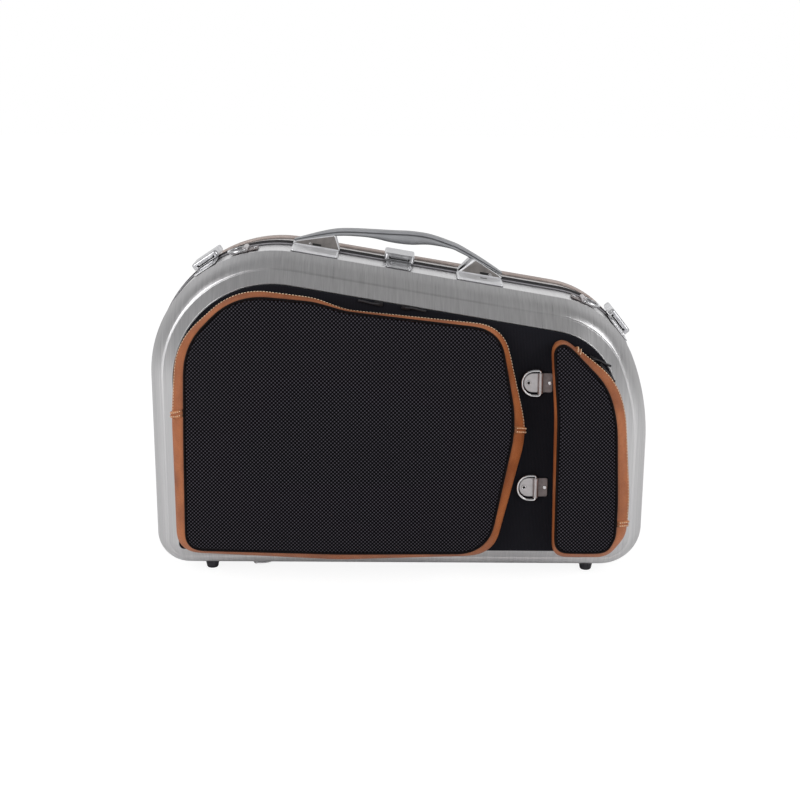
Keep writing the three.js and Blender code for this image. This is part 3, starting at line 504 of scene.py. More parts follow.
def grey_grip(groove, girth):
    """Soft grey plastic, with painted shade in the groove beside its rib and darker painted shade on its
    underside. The groove's place and the girth are lengths round the grip, in metres, from the middle of its
    top."""
    made, shader, surface, spot = finish_of("grey_grip", 0.4, 0.0)
    parts = shader.split(shader.node("ShaderNodeUVMap", uv_map="along").outputs[0])
    folded = shader.math("MINIMUM", parts[0], shader.math("SUBTRACT", girth, parts[0]))
    off = shader.math("ABSOLUTE", shader.math("SUBTRACT", folded, groove))
    # Painted shade along the groove beside the rib
    shade = shader.ranged(off, 0.0004, 0.0012, 0.75, 0.0, smooth=True)
    # Painted shade on the underside, darker towards the bottom of the grip
    low = shader.ranged(folded, girth * 0.26, girth * 0.46, 0.0, 0.7, smooth=True)
    cloud = mottled(shader, spot, 30.0)
    base = shader.mix(cloud, colour(132, 133, 136), colour(148, 149, 152))
    base = shader.mix(low, base, colour(84, 84, 87))
    shader.feed(surface["Base Color"], shader.mix(shade, base, colour(62, 62, 65)))
    speck = shader.noise(spot, 2200, 2.0, 0.6)
    shader.feed(surface["Roughness"], shader.ranged(speck, 0.3, 0.7, 0.38, 0.5))
    shader.feed(surface["Normal"], shader.bump(speck, 0.1, 0.0002))
    return made


# Painted shade on the leather between these two depths, in metres, where it turns in beside the piping
# towards the mesh face
PIPING_SHADE_FULL = -0.1052
PIPING_SHADE_START = -0.1000


def tan_leather(name, dark, light, worn, piping_shade):
    made, shader, surface, spot = finish_of(name, 0.5, 0.0, 0.36)
    cloud = mottled(shader, spot, 26.0)
    grain = placed(shader, GRAIN, Vector=spot, Scale=950.0)
    wear = placed(shader, WEAR, Vector=spot)
    base = shader.mix(cloud, colour(*dark), colour(*light))
    pores = shader.mix(shader.ranged(grain["Mask"], 0, 1, 0.35, 0.0), base, colour(*(v * 0.72 for v in dark)))
    parts = shader.split(spot)
    # Painted shade where the leather turns in beside the piping, darkest towards the face
    edge = shader.ranged(parts[1], PIPING_SHADE_FULL, PIPING_SHADE_START, piping_shade, 0.0, smooth=True)
    hide = shader.mix(wear["Mask"], pores, colour(*worn))
    shader.feed(surface["Base Color"], shader.mix(edge, hide, colour(*(v * 0.35 for v in dark))))
    shader.feed(surface["Roughness"], shader.ranged(grain["Mask"], 0, 1, 0.6, 0.46))
    shader.feed(surface["Normal"], shader.bump(grain["Height"], 0.3, 0.0004))
    return made


def ribbed_fabric():
    made, shader, surface, spot = finish_of("ribbed_fabric", 0.9, 0.0, 0.12)
    parts = shader.split(spot)
    rib = shader.math("SINE", shader.math("MULTIPLY", parts[0], 2 * math.pi * 620))
    pick = shader.math("SINE", shader.math("MULTIPLY", parts[2], 2 * math.pi * 900))
    height = shader.math("ADD", shader.math("MULTIPLY", rib, 0.7), shader.math("MULTIPLY", pick, 0.3))
    cloud = mottled(shader, spot, 14.0)
    base = shader.mix(shader.ranged(height, -1, 1), colour(15, 15, 19), colour(29, 29, 35))
    shade = shader.mix(shader.math("MULTIPLY", cloud, 0.3), base, colour(16, 16, 22))
    shader.feed(surface["Base Color"], shade)
    shader.feed(surface["Normal"], shader.bump(height, 0.35, 0.0003))
    return made


def mesh_fabric():
    made, shader, surface, spot = finish_of("mesh_fabric", 0.8, 0.0, 0.05)
    flat = shader.node("ShaderNodeCombineXYZ")
    parts = shader.split(spot)
    shader.feed(flat.inputs[0], parts[0])
    shader.feed(flat.inputs[1], parts[2])
    threads = placed(shader, THREADS, Vector=flat.outputs[0], Per_Metre=245.0)
    cloud = mottled(shader, spot, 12.0)
    base = shader.mix(shader.ranged(threads["Mask"], 0.15, 1.0), colour(0, 0, 1), colour(70, 67, 74))
    shade = shader.mix(shader.math("MULTIPLY", cloud, 0.1), base, colour(16, 14, 19))
    shader.feed(surface["Base Color"], shade)
    shader.feed(surface["Normal"], shader.bump(threads["Mask"], 0.6, 0.0006))
    return made


def seal_rubber():
    """Rubber that is black on its top, with a painted highlight in grey on the edge that faces the front."""
    made, shader, surface, spot = finish_of("seal_rubber", 0.7, 0.0, 0.12)
    parts = shader.split(spot)
    dust = mottled(shader, spot, 45.0)
    front = (PARTING_Y - SEAL_WIDTH) * MM
    # Painted highlight along the seal's front edge
    edge = shader.ranged(parts[1], front, front + SEAL_HIGHLIGHT_WIDTH * MM, 1.0, 0.0)
    base = shader.mix(dust, colour(22, 19, 23), colour(32, 29, 33))
    shader.feed(surface["Base Color"], shader.mix(edge, base, colour(158, 156, 160)))
    speck = shader.noise(spot, 1300, 2.0, 0.6)
    shader.feed(surface["Normal"], shader.bump(speck, 0.15, 0.0002))
    return made


def plush_liner():
    made, shader, surface, spot = finish_of("plush_liner", 0.95, sheen=0.5)
    pile = shader.noise(spot, 900, 4.0, 0.7)
    cloud = mottled(shader, spot, 22.0)
    base = shader.mix(cloud, colour(50, 50, 56), colour(66, 66, 73))
    shader.feed(surface["Base Color"], base)
    shader.feed(surface["Normal"], shader.bump(pile, 0.5, 0.0008))
    return made


def thread(name, shade):
    made, shader, surface, spot = finish_of(name, 0.6, 0.0)
    cloud = mottled(shader, spot, 400.0)
    pale = tuple(min(v + 16, 255) for v in shade)
    shader.feed(surface["Base Color"], shader.mix(cloud, colour(*shade), colour(*pale)))
    twist = shader.noise(shader.stretched(spot, (2600, 2600, 900)), 1.0, 1.0, 0.5)
    shader.feed(surface["Normal"], shader.bump(twist, 0.4, 0.0002))
    return made


def black_piping():
    made, shader, surface, spot = finish_of("black_piping", 0.7, 0.0, 0.08)
    grain = placed(shader, GRAIN, Vector=spot, Scale=1400.0)
    shader.feed(surface["Base Color"], shader.mix(grain["Mask"], colour(10, 8, 9), colour(22, 17, 18)))
    shader.feed(surface["Normal"], shader.bump(grain["Height"], 0.25, 0.0003))
    return made


def mount_face():
    made, shader, surface, spot = finish_of("mount_face", 0.42, 0.75)
    speck = shader.noise(spot, 1100, 2.0, 0.6)
    cloud = mottled(shader, spot, 120.0)
    shader.feed(surface["Base Color"], shader.mix(cloud, colour(122, 118, 116), colour(146, 141, 138)))
    shader.feed(surface["Roughness"], shader.ranged(speck, 0.3, 0.7, 0.36, 0.5))
    shader.feed(surface["Normal"], shader.bump(speck, 0.15, 0.0002))
    return made


def pale_plate():
    made, shader, surface, spot = finish_of("mount_plate", 0.34, 0.3)
    smear = mottled(shader, spot, 150.0)
    shader.feed(surface["Base Color"], shader.mix(smear, colour(203, 203, 206), colour(218, 218, 220)))
    shader.feed(surface["Roughness"], shader.ranged(smear, 0, 1, 0.28, 0.4))
    return made


def latch_metal():
    made, shader, surface, spot = finish_of("latch_metal", 0.3, 0.85)
    smear = mottled(shader, spot, 240.0)
    wear = placed(shader, WEAR, Vector=spot)
    base = shader.mix(smear, colour(172, 172, 175), colour(190, 190, 193))
    shader.feed(surface["Base Color"], shader.mix(wear["Mask"], base, colour(226, 226, 228)))
    shader.feed(surface["Roughness"], shader.ranged(smear, 0, 1, 0.26, 0.38))
    return made


def dark_finish(name, low, high, roughness, metallic):
    made, shader, surface, spot = finish_of(name, roughness, metallic)
    cloud = mottled(shader, spot, 200.0)
    shader.feed(surface["Base Color"], shader.mix(cloud, colour(*low), colour(*high)))
    shader.feed(surface["Roughness"], shader.ranged(cloud, 0, 1, roughness, roughness + 0.12))
    return made


def zip_tape():
    made, shader, surface, spot = finish_of("zip_tape", 0.6, 0.0)
    parts = shader.split(shader.node("ShaderNodeUVMap", uv_map="along").outputs[0])
    teeth = shader.math("SINE", shader.math("MULTIPLY", parts[0], 2 * math.pi * 620))
    cloud = mottled(shader, spot, 60.0)
    base = shader.mix(shader.ranged(teeth, -0.6, 0.8), colour(12, 12, 14), colour(34, 33, 37))
    shade = shader.mix(shader.math("MULTIPLY", cloud, 0.3), base, colour(20, 19, 22))
    shader.feed(surface["Base Color"], shade)
    shader.feed(surface["Normal"], shader.bump(teeth, 0.5, 0.0004))
    return made


BRUSHED = brushed_metal()
CHROME = bright_chrome()
NICKEL = satin_nickel()
RUBBER = black_rubber()
LEATHER = tan_leather("tan_leather", (137, 73, 35), (184, 109, 62), (208, 140, 90), 0.5)
# The rear band's leather: its own tone, paled towards white by painted sheen
SHEENED_BAND_LEATHER = tan_leather("band_leather", (168, 152, 145), (192, 178, 172), (204, 191, 185), 0.0)
SEAL_RUBBER = seal_rubber()
RIBBED = ribbed_fabric()
MESH = mesh_fabric()
PLUSH = plush_liner()
CREAM_THREAD = thread("cream_thread", (222, 200, 170))
BLACK_CORD = thread("black_cord", (24, 22, 26))
ZIP_TAPE = zip_tape()
PIPING = black_piping()
MOUNT_FACE = mount_face()
MOUNT_PLATE = pale_plate()
LATCH_METAL = latch_metal()
# A darker copy of the satin nickel: painted shade for the tail half of each ring plate
SHADED_TAIL_NICKEL = dark_finish("tail_nickel", (112, 104, 104), (140, 131, 131), 0.4, 0.7)
SHADOW = dark_finish("shadow_black", (8, 8, 9), (16, 16, 17), 0.6, 0.0)
DARK_METAL = dark_finish("dark_metal", (30, 29, 31), (52, 50, 52), 0.35, 0.8)


# Studio


CAMERA_LENS = 62.17
CAMERA_SPOT = Vector((0.0, -1.53888, 0.624))
CAMERA_AIM = Vector((0.0, -0.03888, 0.208))
CAMERA_ROLL = math.radians(0.33)
WORLD_LEVEL = 0.55
CEILING = 0.36
FRONT_SHADE = 0.16
FLOOR_SIZE = 6.0
FLOOR_GLOW = 0.76
GLOW_LEVEL = 1.17
WHITE = (1, 1, 1, 1)
LAMP_AIM = Vector((0, 0, 0.2))
LAMPS = (
    ("key_lamp", (-1.9, -1.7, 1.3), (1.5, 1.6), 34.0),
    ("fill_lamp", (2.0, -1.5, 1.4), (1.4, 1.4), 27.0),
)


def blended(shader, factor, first, second):
    """Two shaders mixed by a factor."""
    made = shader.node("ShaderNodeMixShader")
    shader.feed(made.inputs[0], factor)
    shader.tree.links.new(first, made.inputs[1])
    shader.tree.links.new(second, made.inputs[2])
    return made.outputs[0]


def camera():
    lens = bpy.data.cameras.new("camera")
    lens.sensor_width = 36.0
    lens.lens = CAMERA_LENS
    lens.clip_end = 50
    seat = linked("camera", lens)
    look = (CAMERA_AIM - CAMERA_SPOT).to_track_quat("-Z", "Y").to_matrix()
    turn = look @ Matrix.Rotation(CAMERA_ROLL, 3, "Z")
    seat.matrix_world = Matrix.Translation(CAMERA_SPOT) @ turn.to_4x4()
    bpy.context.scene.camera = seat


def background(shader, strength):
    made = shader.node("ShaderNodeBackground")
    made.inputs["Color"].default_value = WHITE
    shader.feed(made.inputs["Strength"], strength)
    return made.outputs[0]


def surroundings():
    """White to the camera and an even light on the case. Its reflections see a soft gradient: dark in
    front but lighter near the floor and overhead, bright behind but darker overhead and at the sides."""
    world = bpy.data.worlds.new("studio")
    bpy.context.scene.world = world
    world.use_nodes = True
    world.node_tree.nodes.clear()
    shader = Shader(world.node_tree)
    rays = shader.node("ShaderNodeLightPath").outputs
    way = shader.split(shader.node("ShaderNodeTexCoord").outputs["Generated"])
    back = shader.ranged(way[1], -0.3, 0.3, smooth=True)
    behind = shader.ranged(way[2], 0.35, 0.95, 1.0, CEILING, smooth=True)
    aside = shader.ranged(shader.math("ABSOLUTE", way[0]), 0.35, 0.85, 1.0, 0.5, smooth=True)
    behind = shader.math("MULTIPLY", behind, aside)
    low = shader.ranged(way[2], 0.0, 0.15, 0.8, FRONT_SHADE, smooth=True)
    high = shader.ranged(way[2], 0.5, 0.98, FRONT_SHADE, CEILING)
    before = shader.math("MAXIMUM", low, high)
    step = shader.math("MULTIPLY", back, shader.math("SUBTRACT", behind, before))
    mirror = shader.math("ADD", before, step)
    soft = shader.math("MAXIMUM", rays["Is Glossy Ray"], rays["Is Transmission Ray"])
    lit = blended(shader, soft, background(shader, WORLD_LEVEL), background(shader, mirror))
    seen = blended(shader, rays["Is Camera Ray"], lit, background(shader, 1.0))
    end = shader.node("ShaderNodeOutputWorld")
    shader.tree.links.new(seen, end.inputs[0])


def white_floor():
    """A floor that catches the shadows and glows a little to the camera alone."""
    bm = bmesh.new()
    bmesh.ops.create_grid(bm, x_segments=1, y_segments=1, size=FLOOR_SIZE)
    mesh = bpy.data.meshes.new("floor")
    bm.to_mesh(mesh)
    bm.free()
    paint, shader, surface, _ = finish_of("floor_paint", 0.9)
    surface["Base Color"].default_value = (0.9, 0.9, 0.9, 1)
    glow = shader.node("ShaderNodeEmission")
    glow.inputs["Strength"].default_value = GLOW_LEVEL
    rays = shader.node("ShaderNodeLightPath").outputs
    share = shader.math("MULTIPLY", rays["Is Camera Ray"], FLOOR_GLOW)
    nodes = paint.node_tree.nodes
    shown = blended(shader, share, nodes["Principled BSDF"].outputs[0], glow.outputs[0])
    shader.tree.links.new(shown, nodes["Material Output"].inputs[0])
    mesh.materials.append(paint)
    linked("floor", mesh)


def lamps():
    for name, spot, size, power in LAMPS:
        lamp = bpy.data.lights.new(name, "AREA")
        lamp.shape = "RECTANGLE"
        lamp.size, lamp.size_y = size
        lamp.energy = power
        seat = linked(name, lamp)
        seat.location = spot
        seat.rotation_mode = "QUATERNION"
        seat.rotation_quaternion = (LAMP_AIM - Vector(spot)).to_track_quat("-Z", "Y")


bpy.context.scene.view_settings.view_transform = "Standard"
camera()
surroundings()
white_floor()
lamps()


# Shells, liners, seals, leather strip

WALL = 4.0
GAP = 0.3
LINER = 8.0
RECESS_DEPTH = 1.5

# Sections: Y and the inset from the case's outline at each corner, from the parting plane outwards
FRONT_SECTION = [(-2.45, 0.0), (-51.0, 0.0), (-63.0, 6.55), (-75.0, 15.5), (-89.0, 30.0)]
REAR_SECTION = [(2.45, 0.0), (SEAL_WIDTH, 0.0), (REAR_FLANK, REAR_DRAFT), (80.0, 17.0), (94.0, 32.0)]
CROWN_START = (-51.0, 0.0)
CROWN_END = (-75.0, 15.2)
CROWN_STEP = (-75.5, 17.2)
CROWN_RISE = 4.6
SEAL_SECTION = [(0.15, -2.5), (0.15, 4.0), (2.15, 4.0), (2.15, -GAP), (SEAL_WIDTH, -GAP)]
SEAL_RADII = {0: 1.1, 1: 0.7, 2: 0.4, 3: 0.4, 5: 0.5}
BAND_SECTION = [(46.0, -GAP), (61.0, -GAP), (61.0, -2.4), (57.5, -2.9), (49.5, -2.9), (46.0, -2.4)]
BAND_RADII = {2: 0.6, 3: 2.0, 4: 2.0, 5: 0.6}
FRONT_BOARD = [(-87.8, 30.6), (-90.2, 30.6), (-90.75, 30.9), (PANEL_FACE, 31.6)]
BACK_BOARD = [
    (92.8, 32.6),
    (95.0, 32.6),
    (96.5, 33.3),
    (97.5, 35.0),
    (98.0, 38.0),
    (98.0, 41.5),
    (97.3, 42.7),
    (97.3, 43.3),
    (98.0, 44.5),
    (98.0, 52.0),
]


def moved_in(section, distance):
    """A section line of (y, inset) points moved inwards, square to its own run."""
    side = -1.0 if section[0][0] > 0 else 1.0
    run = [(section[0][0] + side, section[0][1]), *section, (section[-1][0], section[-1][1] + 1.0)]
    normals = []
    for (y0, i0), (y1, i1) in zip(run, run[1:]):
        length = math.hypot(y1 - y0, i1 - i0)
        normals.append((side * (i1 - i0) / length, side * (y0 - y1) / length))
    moved = []
    for point, before, after in zip(section, normals, normals[1:]):
        total = (before[0] + after[0], before[1] + after[1])
        stretch = 2 * distance / (total[0] ** 2 + total[1] ** 2)
        moved.append((point[0] + total[0] * stretch, point[1] + total[1] * stretch))
    return moved


def crowned(start, end, rise, steps):
    """Points between two points of a section, on a curve that bulges outwards and turns most near its end."""
    run = Vector(end) - Vector(start)
    out = Vector((run.y, -run.x)).normalized()
    if out.y > 0:
        out = -out
    shares = [i / steps for i in range(1, steps)]
    return [tuple(Vector(start) + run * t + out * (rise * (t - t**4))) for t in shares]


def shell(name, section, outer, radii, body):
    """A half of the case: inner wall, rim, rounded outer wall and a shallow recess for its fabric board."""
    back = section[0][0] > 0
    inner = rounded(list(reversed(moved_in(section, WALL))), {1: 6, 2: 6, 3: 6}, 3)
    recess = (section[-1][0] + (-RECESS_DEPTH if back else RECESS_DEPTH), section[-1][1] + GAP)
    outer = rounded([*outer, recess], radii, 5)
    rings = [ring_at(y, inset) for y, inset in [*inner, *outer]]
    piece = finished(name, lofted(rings), body, BRUSHED, (name[: -len("_case")],))
    return crisp(piece)


def liner(name, section, body):
    """A plush tray inside a shell, with a soft rim."""
    side = 1.0 if section[0][0] > 0 else -1.0
    outer = moved_in(section, WALL + GAP)
    inner = moved_in(section, WALL + GAP + LINER)
    outer[0] = (side, outer[0][1])
    inner[0] = (side, inner[0][1])
    run = [*reversed(inner), *outer]
    last = len(inner) - 1
    radii = {last: 3.5, last + 1: 3.5, last - 1: 8, last - 2: 12, last - 3: 12, last + 2: 2}
    rings = [ring_at(y, inset) for y, inset in rounded(run, radii, 4)]
    piece = finished(name, lofted(rings), body, PLUSH, (name[: -len("_tray")],))
    return piece


def closed_section(points, radii, steps=3):
    """A closed section, each corner rounded with the radius given for it."""
    start = tuple((a + b) / 2 for a, b in zip(points[-1], points[0]))
    run = rounded([start, *points, start], {i + 1: r for i, r in radii.items()}, steps)
    return run[:-1]


def seal(name, side, body, low):
    """Half of the rubber seal: a flat lip over the shell's edge, with a web into the joint. Low is how
    far the lip's outer edge stands proud."""
    run = closed_section([(SEAL_WIDTH, -low), *SEAL_SECTION], SEAL_RADII)
    rings = [ring_at(side * y, inset) for y, inset in run]
    return finished(name, lofted(rings, True), body, SEAL_RUBBER, (name[: -len("_rubber")],))


def draft_at(y):
    """How far the rear flank leans in at a depth."""
    return REAR_DRAFT * (y - SEAL_WIDTH) / (REAR_FLANK - SEAL_WIDTH)


def leather_band():
    """The leather band round the back edge of the rear shell, a little crowned."""
    run = closed_section(BAND_SECTION, BAND_RADII)
    bm = lofted([ring_at(y, draft_at(y) + lift) for y, lift in run], True)
    finished("leather_band", bm, "rear_half", SHEENED_BAND_LEATHER, ("leather_strip",))


def board(name, section, body, replaced):
    """A board of ribbed fabric, set in a shell's recess."""
    bm = lofted([ring_at(y, inset) for y, inset in section])
    return finished(name, bm, body, RIBBED, (replaced,))


crown = [*FRONT_SECTION[:2], *crowned(CROWN_START, CROWN_END, CROWN_RISE, 8), CROWN_END]
front_outer = [*crown, CROWN_STEP, FRONT_SECTION[-1]]
shell("front_shell_case", FRONT_SECTION, front_outer, {1: 1.4, 9: 2.0, 10: 0.5, 11: 0.5}, "front_half")
shell("rear_shell_case", REAR_SECTION, REAR_SECTION, {1: 1.0, 2: 3.0, 3: 3.0, 4: 1.2}, "rear_half")
liner("front_liner_tray", FRONT_SECTION, "front_half")
liner("rear_liner_tray", REAR_SECTION, "rear_half")
seal("front_seal_rubber", -1, "front_half", 1.9)
seal("rear_seal_rubber", 1, "rear_half", 2.5)
leather_band()
crisp(board("front_board", FRONT_BOARD, "front_half", "front_panel"))
board("back_board", BACK_BOARD, "rear_half", "back_pad")


# Pockets

ZIP_BACK = -91.3
ZIP_FRONT = -96.0
GUSSET_BACK = -96.3
GUSSET_FRONT = -117.0
OUTLINE_STEP = 3.0
JOINT_WIDTH = 8.0
JOINT_WALL = 0.9
STITCH_PITCH = 3.3
STITCH_SHARE = 0.17
STITCH_LIFT = 0.3
FLAP_STITCH = (1.35, 0.55, 0.45)
JOINT_STITCH = (1.1, 0.6, 0.45)
JOINT_STITCH_LIFT = 2.0
PIPING_RADIUS = 1.35
FACE_RIM = 3.1
FACE_CROWN = 1.9

# Corners of each outline: X, Z and the corner's radius
LARGE_BASE = [
    (106.0, 28.1, 32.0),
    (139.7, 171.8, 90.0),
    (110.6, 291.2, 36.0),
    (-60.0, 307.2, 60.0),
    (-92.0, 320.6, 60.0),
    (-175.5, 331.6, 72.0),
    (-243.3, 271.3, 78.0),
    (-250.2, 184.5, 80.0),
    (-250.0, 29.9, 22.0),
    (-67.0, 21.2, 299.0),
]
LARGE_FACE = [
    (97.9, 38.0, 38.0),
    (126.0, 188.0, 150.0),
    (105.8, 291.8, 34.0),
    (-58.0, 310.9, 60.0),
    (-92.0, 320.9, 60.0),
    (-175.8, 328.6, 72.0),
    (-231.0, 272.3, 76.0),
    (-234.5, 166.1, 80.0),
    (-236.7, 40.2, 16.0),
    (-66.1, 36.5, 299.0),
]
SMALL_BASE = [
    (172.2, 25.9, 12.0),
    (235.0, 25.9, 20.0),
    (254.6, 51.8, 22.0),
    (256.1, 96.0, 248.0),
    (247.3, 196.0, 150.0),
    (235.0, 233.2, 75.0),
    (162.2, 289.6, 10.0),
    (169.3, 196.0, 299.0),
]
SMALL_FACE = [
    (172.5, 39.1, 12.0),
    (230.6, 39.1, 14.0),
    (239.2, 58.0, 14.0),
    (239.6, 96.0, 248.0),
    (234.9, 190.0, 150.0),
    (224.2, 229.4, 78.0),
    (161.9, 292.6, 9.0),
    (171.0, 196.0, 299.0),
]


def corner_arcs(corners, steps=16):
    """The round corners of a closed outline, one list of points for each."""
    arcs = []
    for i, (x, z, radius) in enumerate(corners):
        here = Vector((x, z))
        before = (Vector(corners[i - 1][:2]) - here).normalized()
        after = (Vector(corners[(i + 1) % len(corners)][:2]) - here).normalized()
        half = before.angle(after) / 2
        centre = here + (before + after).normalized() * radius / math.sin(half)
        start = here + before * radius / math.tan(half) - centre
        end = here + after * radius / math.tan(half) - centre
        turn = math.atan2(start.x * end.y - start.y * end.x, start.dot(end))
        arcs.append([centre + Matrix.Rotation(turn * k / steps, 2) @ start for k in range(steps + 1)])
    return arcs


def resampled(run, count):
    """A run of points set out again at equal steps, without its last point."""
    lengths = [0.0]
    for a, b in zip(run, run[1:]):
        lengths.append(lengths[-1] + (b - a).length)
    points, k = [], 0
    for i in range(count):
        want = lengths[-1] * i / count
        while lengths[k + 1] < want:
            k += 1
        points.append(run[k].lerp(run[k + 1], (want - lengths[k]) / max(lengths[k + 1] - lengths[k], 1e-9)))
    return points


def pocket_outlines(base, face):
    """The pocket's outline at its back and at its face, point for point, with the corners eased."""
    arcs = [corner_arcs(base), corner_arcs(face)]
    count = len(base)
    middle = len(arcs[0][0]) // 2
    outlines = [[], []]
    for k in range(count):
        runs = [[*a[k][middle:], *a[(k + 1) % count][: middle + 1]] for a in arcs]
        length = sum((q - p).length for p, q in zip(runs[0], runs[0][1:]))
        steps = max(2, round(length / OUTLINE_STEP))
        for made, run in zip(outlines, runs):
            made.extend(resampled(run, steps))
    for made in outlines:
        for _ in range(6):
            nexts = [*made[1:], made[0]]
            made[:] = [p * 0.5 + (made[i - 1] + nexts[i]) * 0.25 for i, p in enumerate(made)]
    return outlines


def outward(points):
    """The direction out of a closed outline at each of its points."""
    area = sum(p.x * q.y - p.y * q.x for p, q in zip(points, [*points[1:], points[0]]))
    side = 1.0 if area > 0 else -1.0
    ways = []
    for i in range(len(points)):
        run = (points[(i + 1) % len(points)] - points[i - 1]).normalized()
        ways.append(Vector((run.y, -run.x)) * side)
    return ways


def nearest(points, x, z):
    """The number of the outline's point nearest to a place."""
    return min(range(len(points)), key=lambda i: (points[i] - Vector((x, z))).length)


def eased(value, low, high):
    """0 below a range, 1 above it and a smooth step between."""
    t = min(max((value - low) / (high - low), 0.0), 1.0)
    return t * t * (3 - 2 * t)


class Pocket:
    """A zipped pocket: its outlines and the surface of its leather gusset."""

    def __init__(self, name, base, face, joints):
        self.name = name
        self.base, self.face = pocket_outlines(base, face)
        self.ways = outward(self.base)
        self.count = len(self.base)
        self.joints = [(nearest(self.base, *spot[:2]), nearest(self.face, *spot[2:])) for spot in joints]
        self.start, self.end = (numbers[0] for numbers in self.joints)

    def flap(self, i):
        """1 where the gusset's back edge laps over the zip, between the two joints, and 0 elsewhere."""
        span = (self.end - self.start) % self.count
        return 1.0 if (i - self.start) % self.count <= span else 0.0

    def on_gusset(self, i, share, lift=0.0):
        """A point on the gusset: its number along the outline, its share of the way to the face, its lift."""
        low = math.floor(i)
        part = i - low
        a, b = low % self.count, (low + 1) % self.count
        base = self.base[a].lerp(self.base[b], part)
        face = self.face[a].lerp(self.face[b], part)
        way = self.ways[a].lerp(self.ways[b], part).normalized()
        flap = self.flap(a) * (1 - eased(share, 0.3, 0.42)) * 0.4
        bulge = 1.6 * 4 * share * (1 - share) + flap + lift
        spot = base.lerp(face, share) + way * bulge
        return Vector((spot.x, GUSSET_BACK + (GUSSET_FRONT - GUSSET_BACK) * share - lift * 0.5, spot.y))

    def ring(self, outline, y):
        return [place(p.x, y, p.y) for p in outline]

    def drawn_in(self, outline, distance):
        return [p - way * distance for p, way in zip(outline, outward(outline))]

    def zip_tape(self):
        """The zip's tape, with the row of teeth proud along its middle."""
        section = [(1.5, ZIP_BACK), (1.5, -92.2), (0.4, -92.8), (0.2, -93.8)]
        section += [(0.4, -94.8), (1.5, -95.4), (1.5, ZIP_FRONT)]
        bm = lofted([self.ring(self.drawn_in(self.base, inset), y) for inset, y in section])
        name = f"{self.name}_zip_tape"
        finished(name, bm, "front_half", ZIP_TAPE, (f"{self.name}_zip",))

    def gusset(self):
        """The leather side, with its back edge and its front edge turned in."""
        shares = [0.0, 0.012, 0.06, 0.14, 0.22, 0.3, 0.36, 0.42, 0.52, 0.64, 0.76, 0.88, 0.96, 1.0]
        rings = []
        for share in shares:
            rings.append([place(*self.on_gusset(i, share)) for i in range(self.count)])
        rings.insert(0, self.ring(self.drawn_in(self.base, 2.2), GUSSET_BACK - 0.2))
        rings.append(self.ring(self.drawn_in(self.face, 1.6), GUSSET_FRONT - 0.25))
        name = f"{self.name}_leather"
        finished(name, lofted(rings), "front_half", LEATHER, (f"{self.name}_gusset",))

    def piping(self):
        """The black cord sewn in between the leather and the fabric face."""
        path = [place(p.x, GUSSET_FRONT - 0.7, p.y) for p in self.drawn_in(self.face, 0.5)]
        bm = tube(path, PIPING_RADIUS, 8, True)
        finished(f"{self.name}_piping", bm, "front_half", PIPING)

    def mesh_face(self):
        """The fabric face: its edge rolls over beside the piping and its middle is a little crowned."""
        inner = self.drawn_in(self.face, 1.9)
        low = Vector((min(p.x for p in inner), min(p.y for p in inner)))
        high = Vector((max(p.x for p in inner), max(p.y for p in inner)))
        centre = (low + high) / 2
        rings = [self.ring(self.drawn_in(self.face, 2.4), GUSSET_FRONT - 0.3)]
        rings.append(self.ring(inner, GUSSET_FRONT - 1.0))
        run = [(0.4, 1.9), (1.2, 2.6), (2.4, FACE_RIM)]
        rings += [self.ring(self.drawn_in(inner, inset), GUSSET_FRONT - rise) for inset, rise in run]
        last = self.drawn_in(inner, 2.4)
        for share in (0.02, 0.05, 0.1, 0.18, 0.3, 0.45, 0.62, 0.8, 0.94):
            rise = FACE_RIM + FACE_CROWN * (1 - (1 - share) ** 4)
            rings.append(self.ring([p.lerp(centre, share) for p in last], GUSSET_FRONT - rise))
        replaced = (f"{self.name}_face",)
        piece = finished(f"{self.name}_mesh", lofted(rings), "front_half", MESH, replaced)

    def stitches(self):
        """Cream stitches along the flap's edge."""
        span = (self.end - self.start) % self.count
        places, walked, last = [], 0.0, None
        steps = span * 12
        for k in range(steps + 1):
            i = self.start + span * k / steps
            here = self.on_gusset(i, STITCH_SHARE, STITCH_LIFT)
            if last is not None:
                walked += (here - last).length
            if last is None or walked >= STITCH_PITCH:
                ahead = self.on_gusset(i + 0.2, STITCH_SHARE, STITCH_LIFT)
                places.append((here, (ahead - here).normalized(), self.lifted_way(i, STITCH_SHARE)))
                walked = 0.0
            last = here
        sewn(f"{self.name}_stitches", places, FLAP_STITCH)

    def lifted_way(self, i, share):
        """The direction out of the gusset."""
        return (self.on_gusset(i, share, 1.0) - self.on_gusset(i, share, 0.0)).normalized()

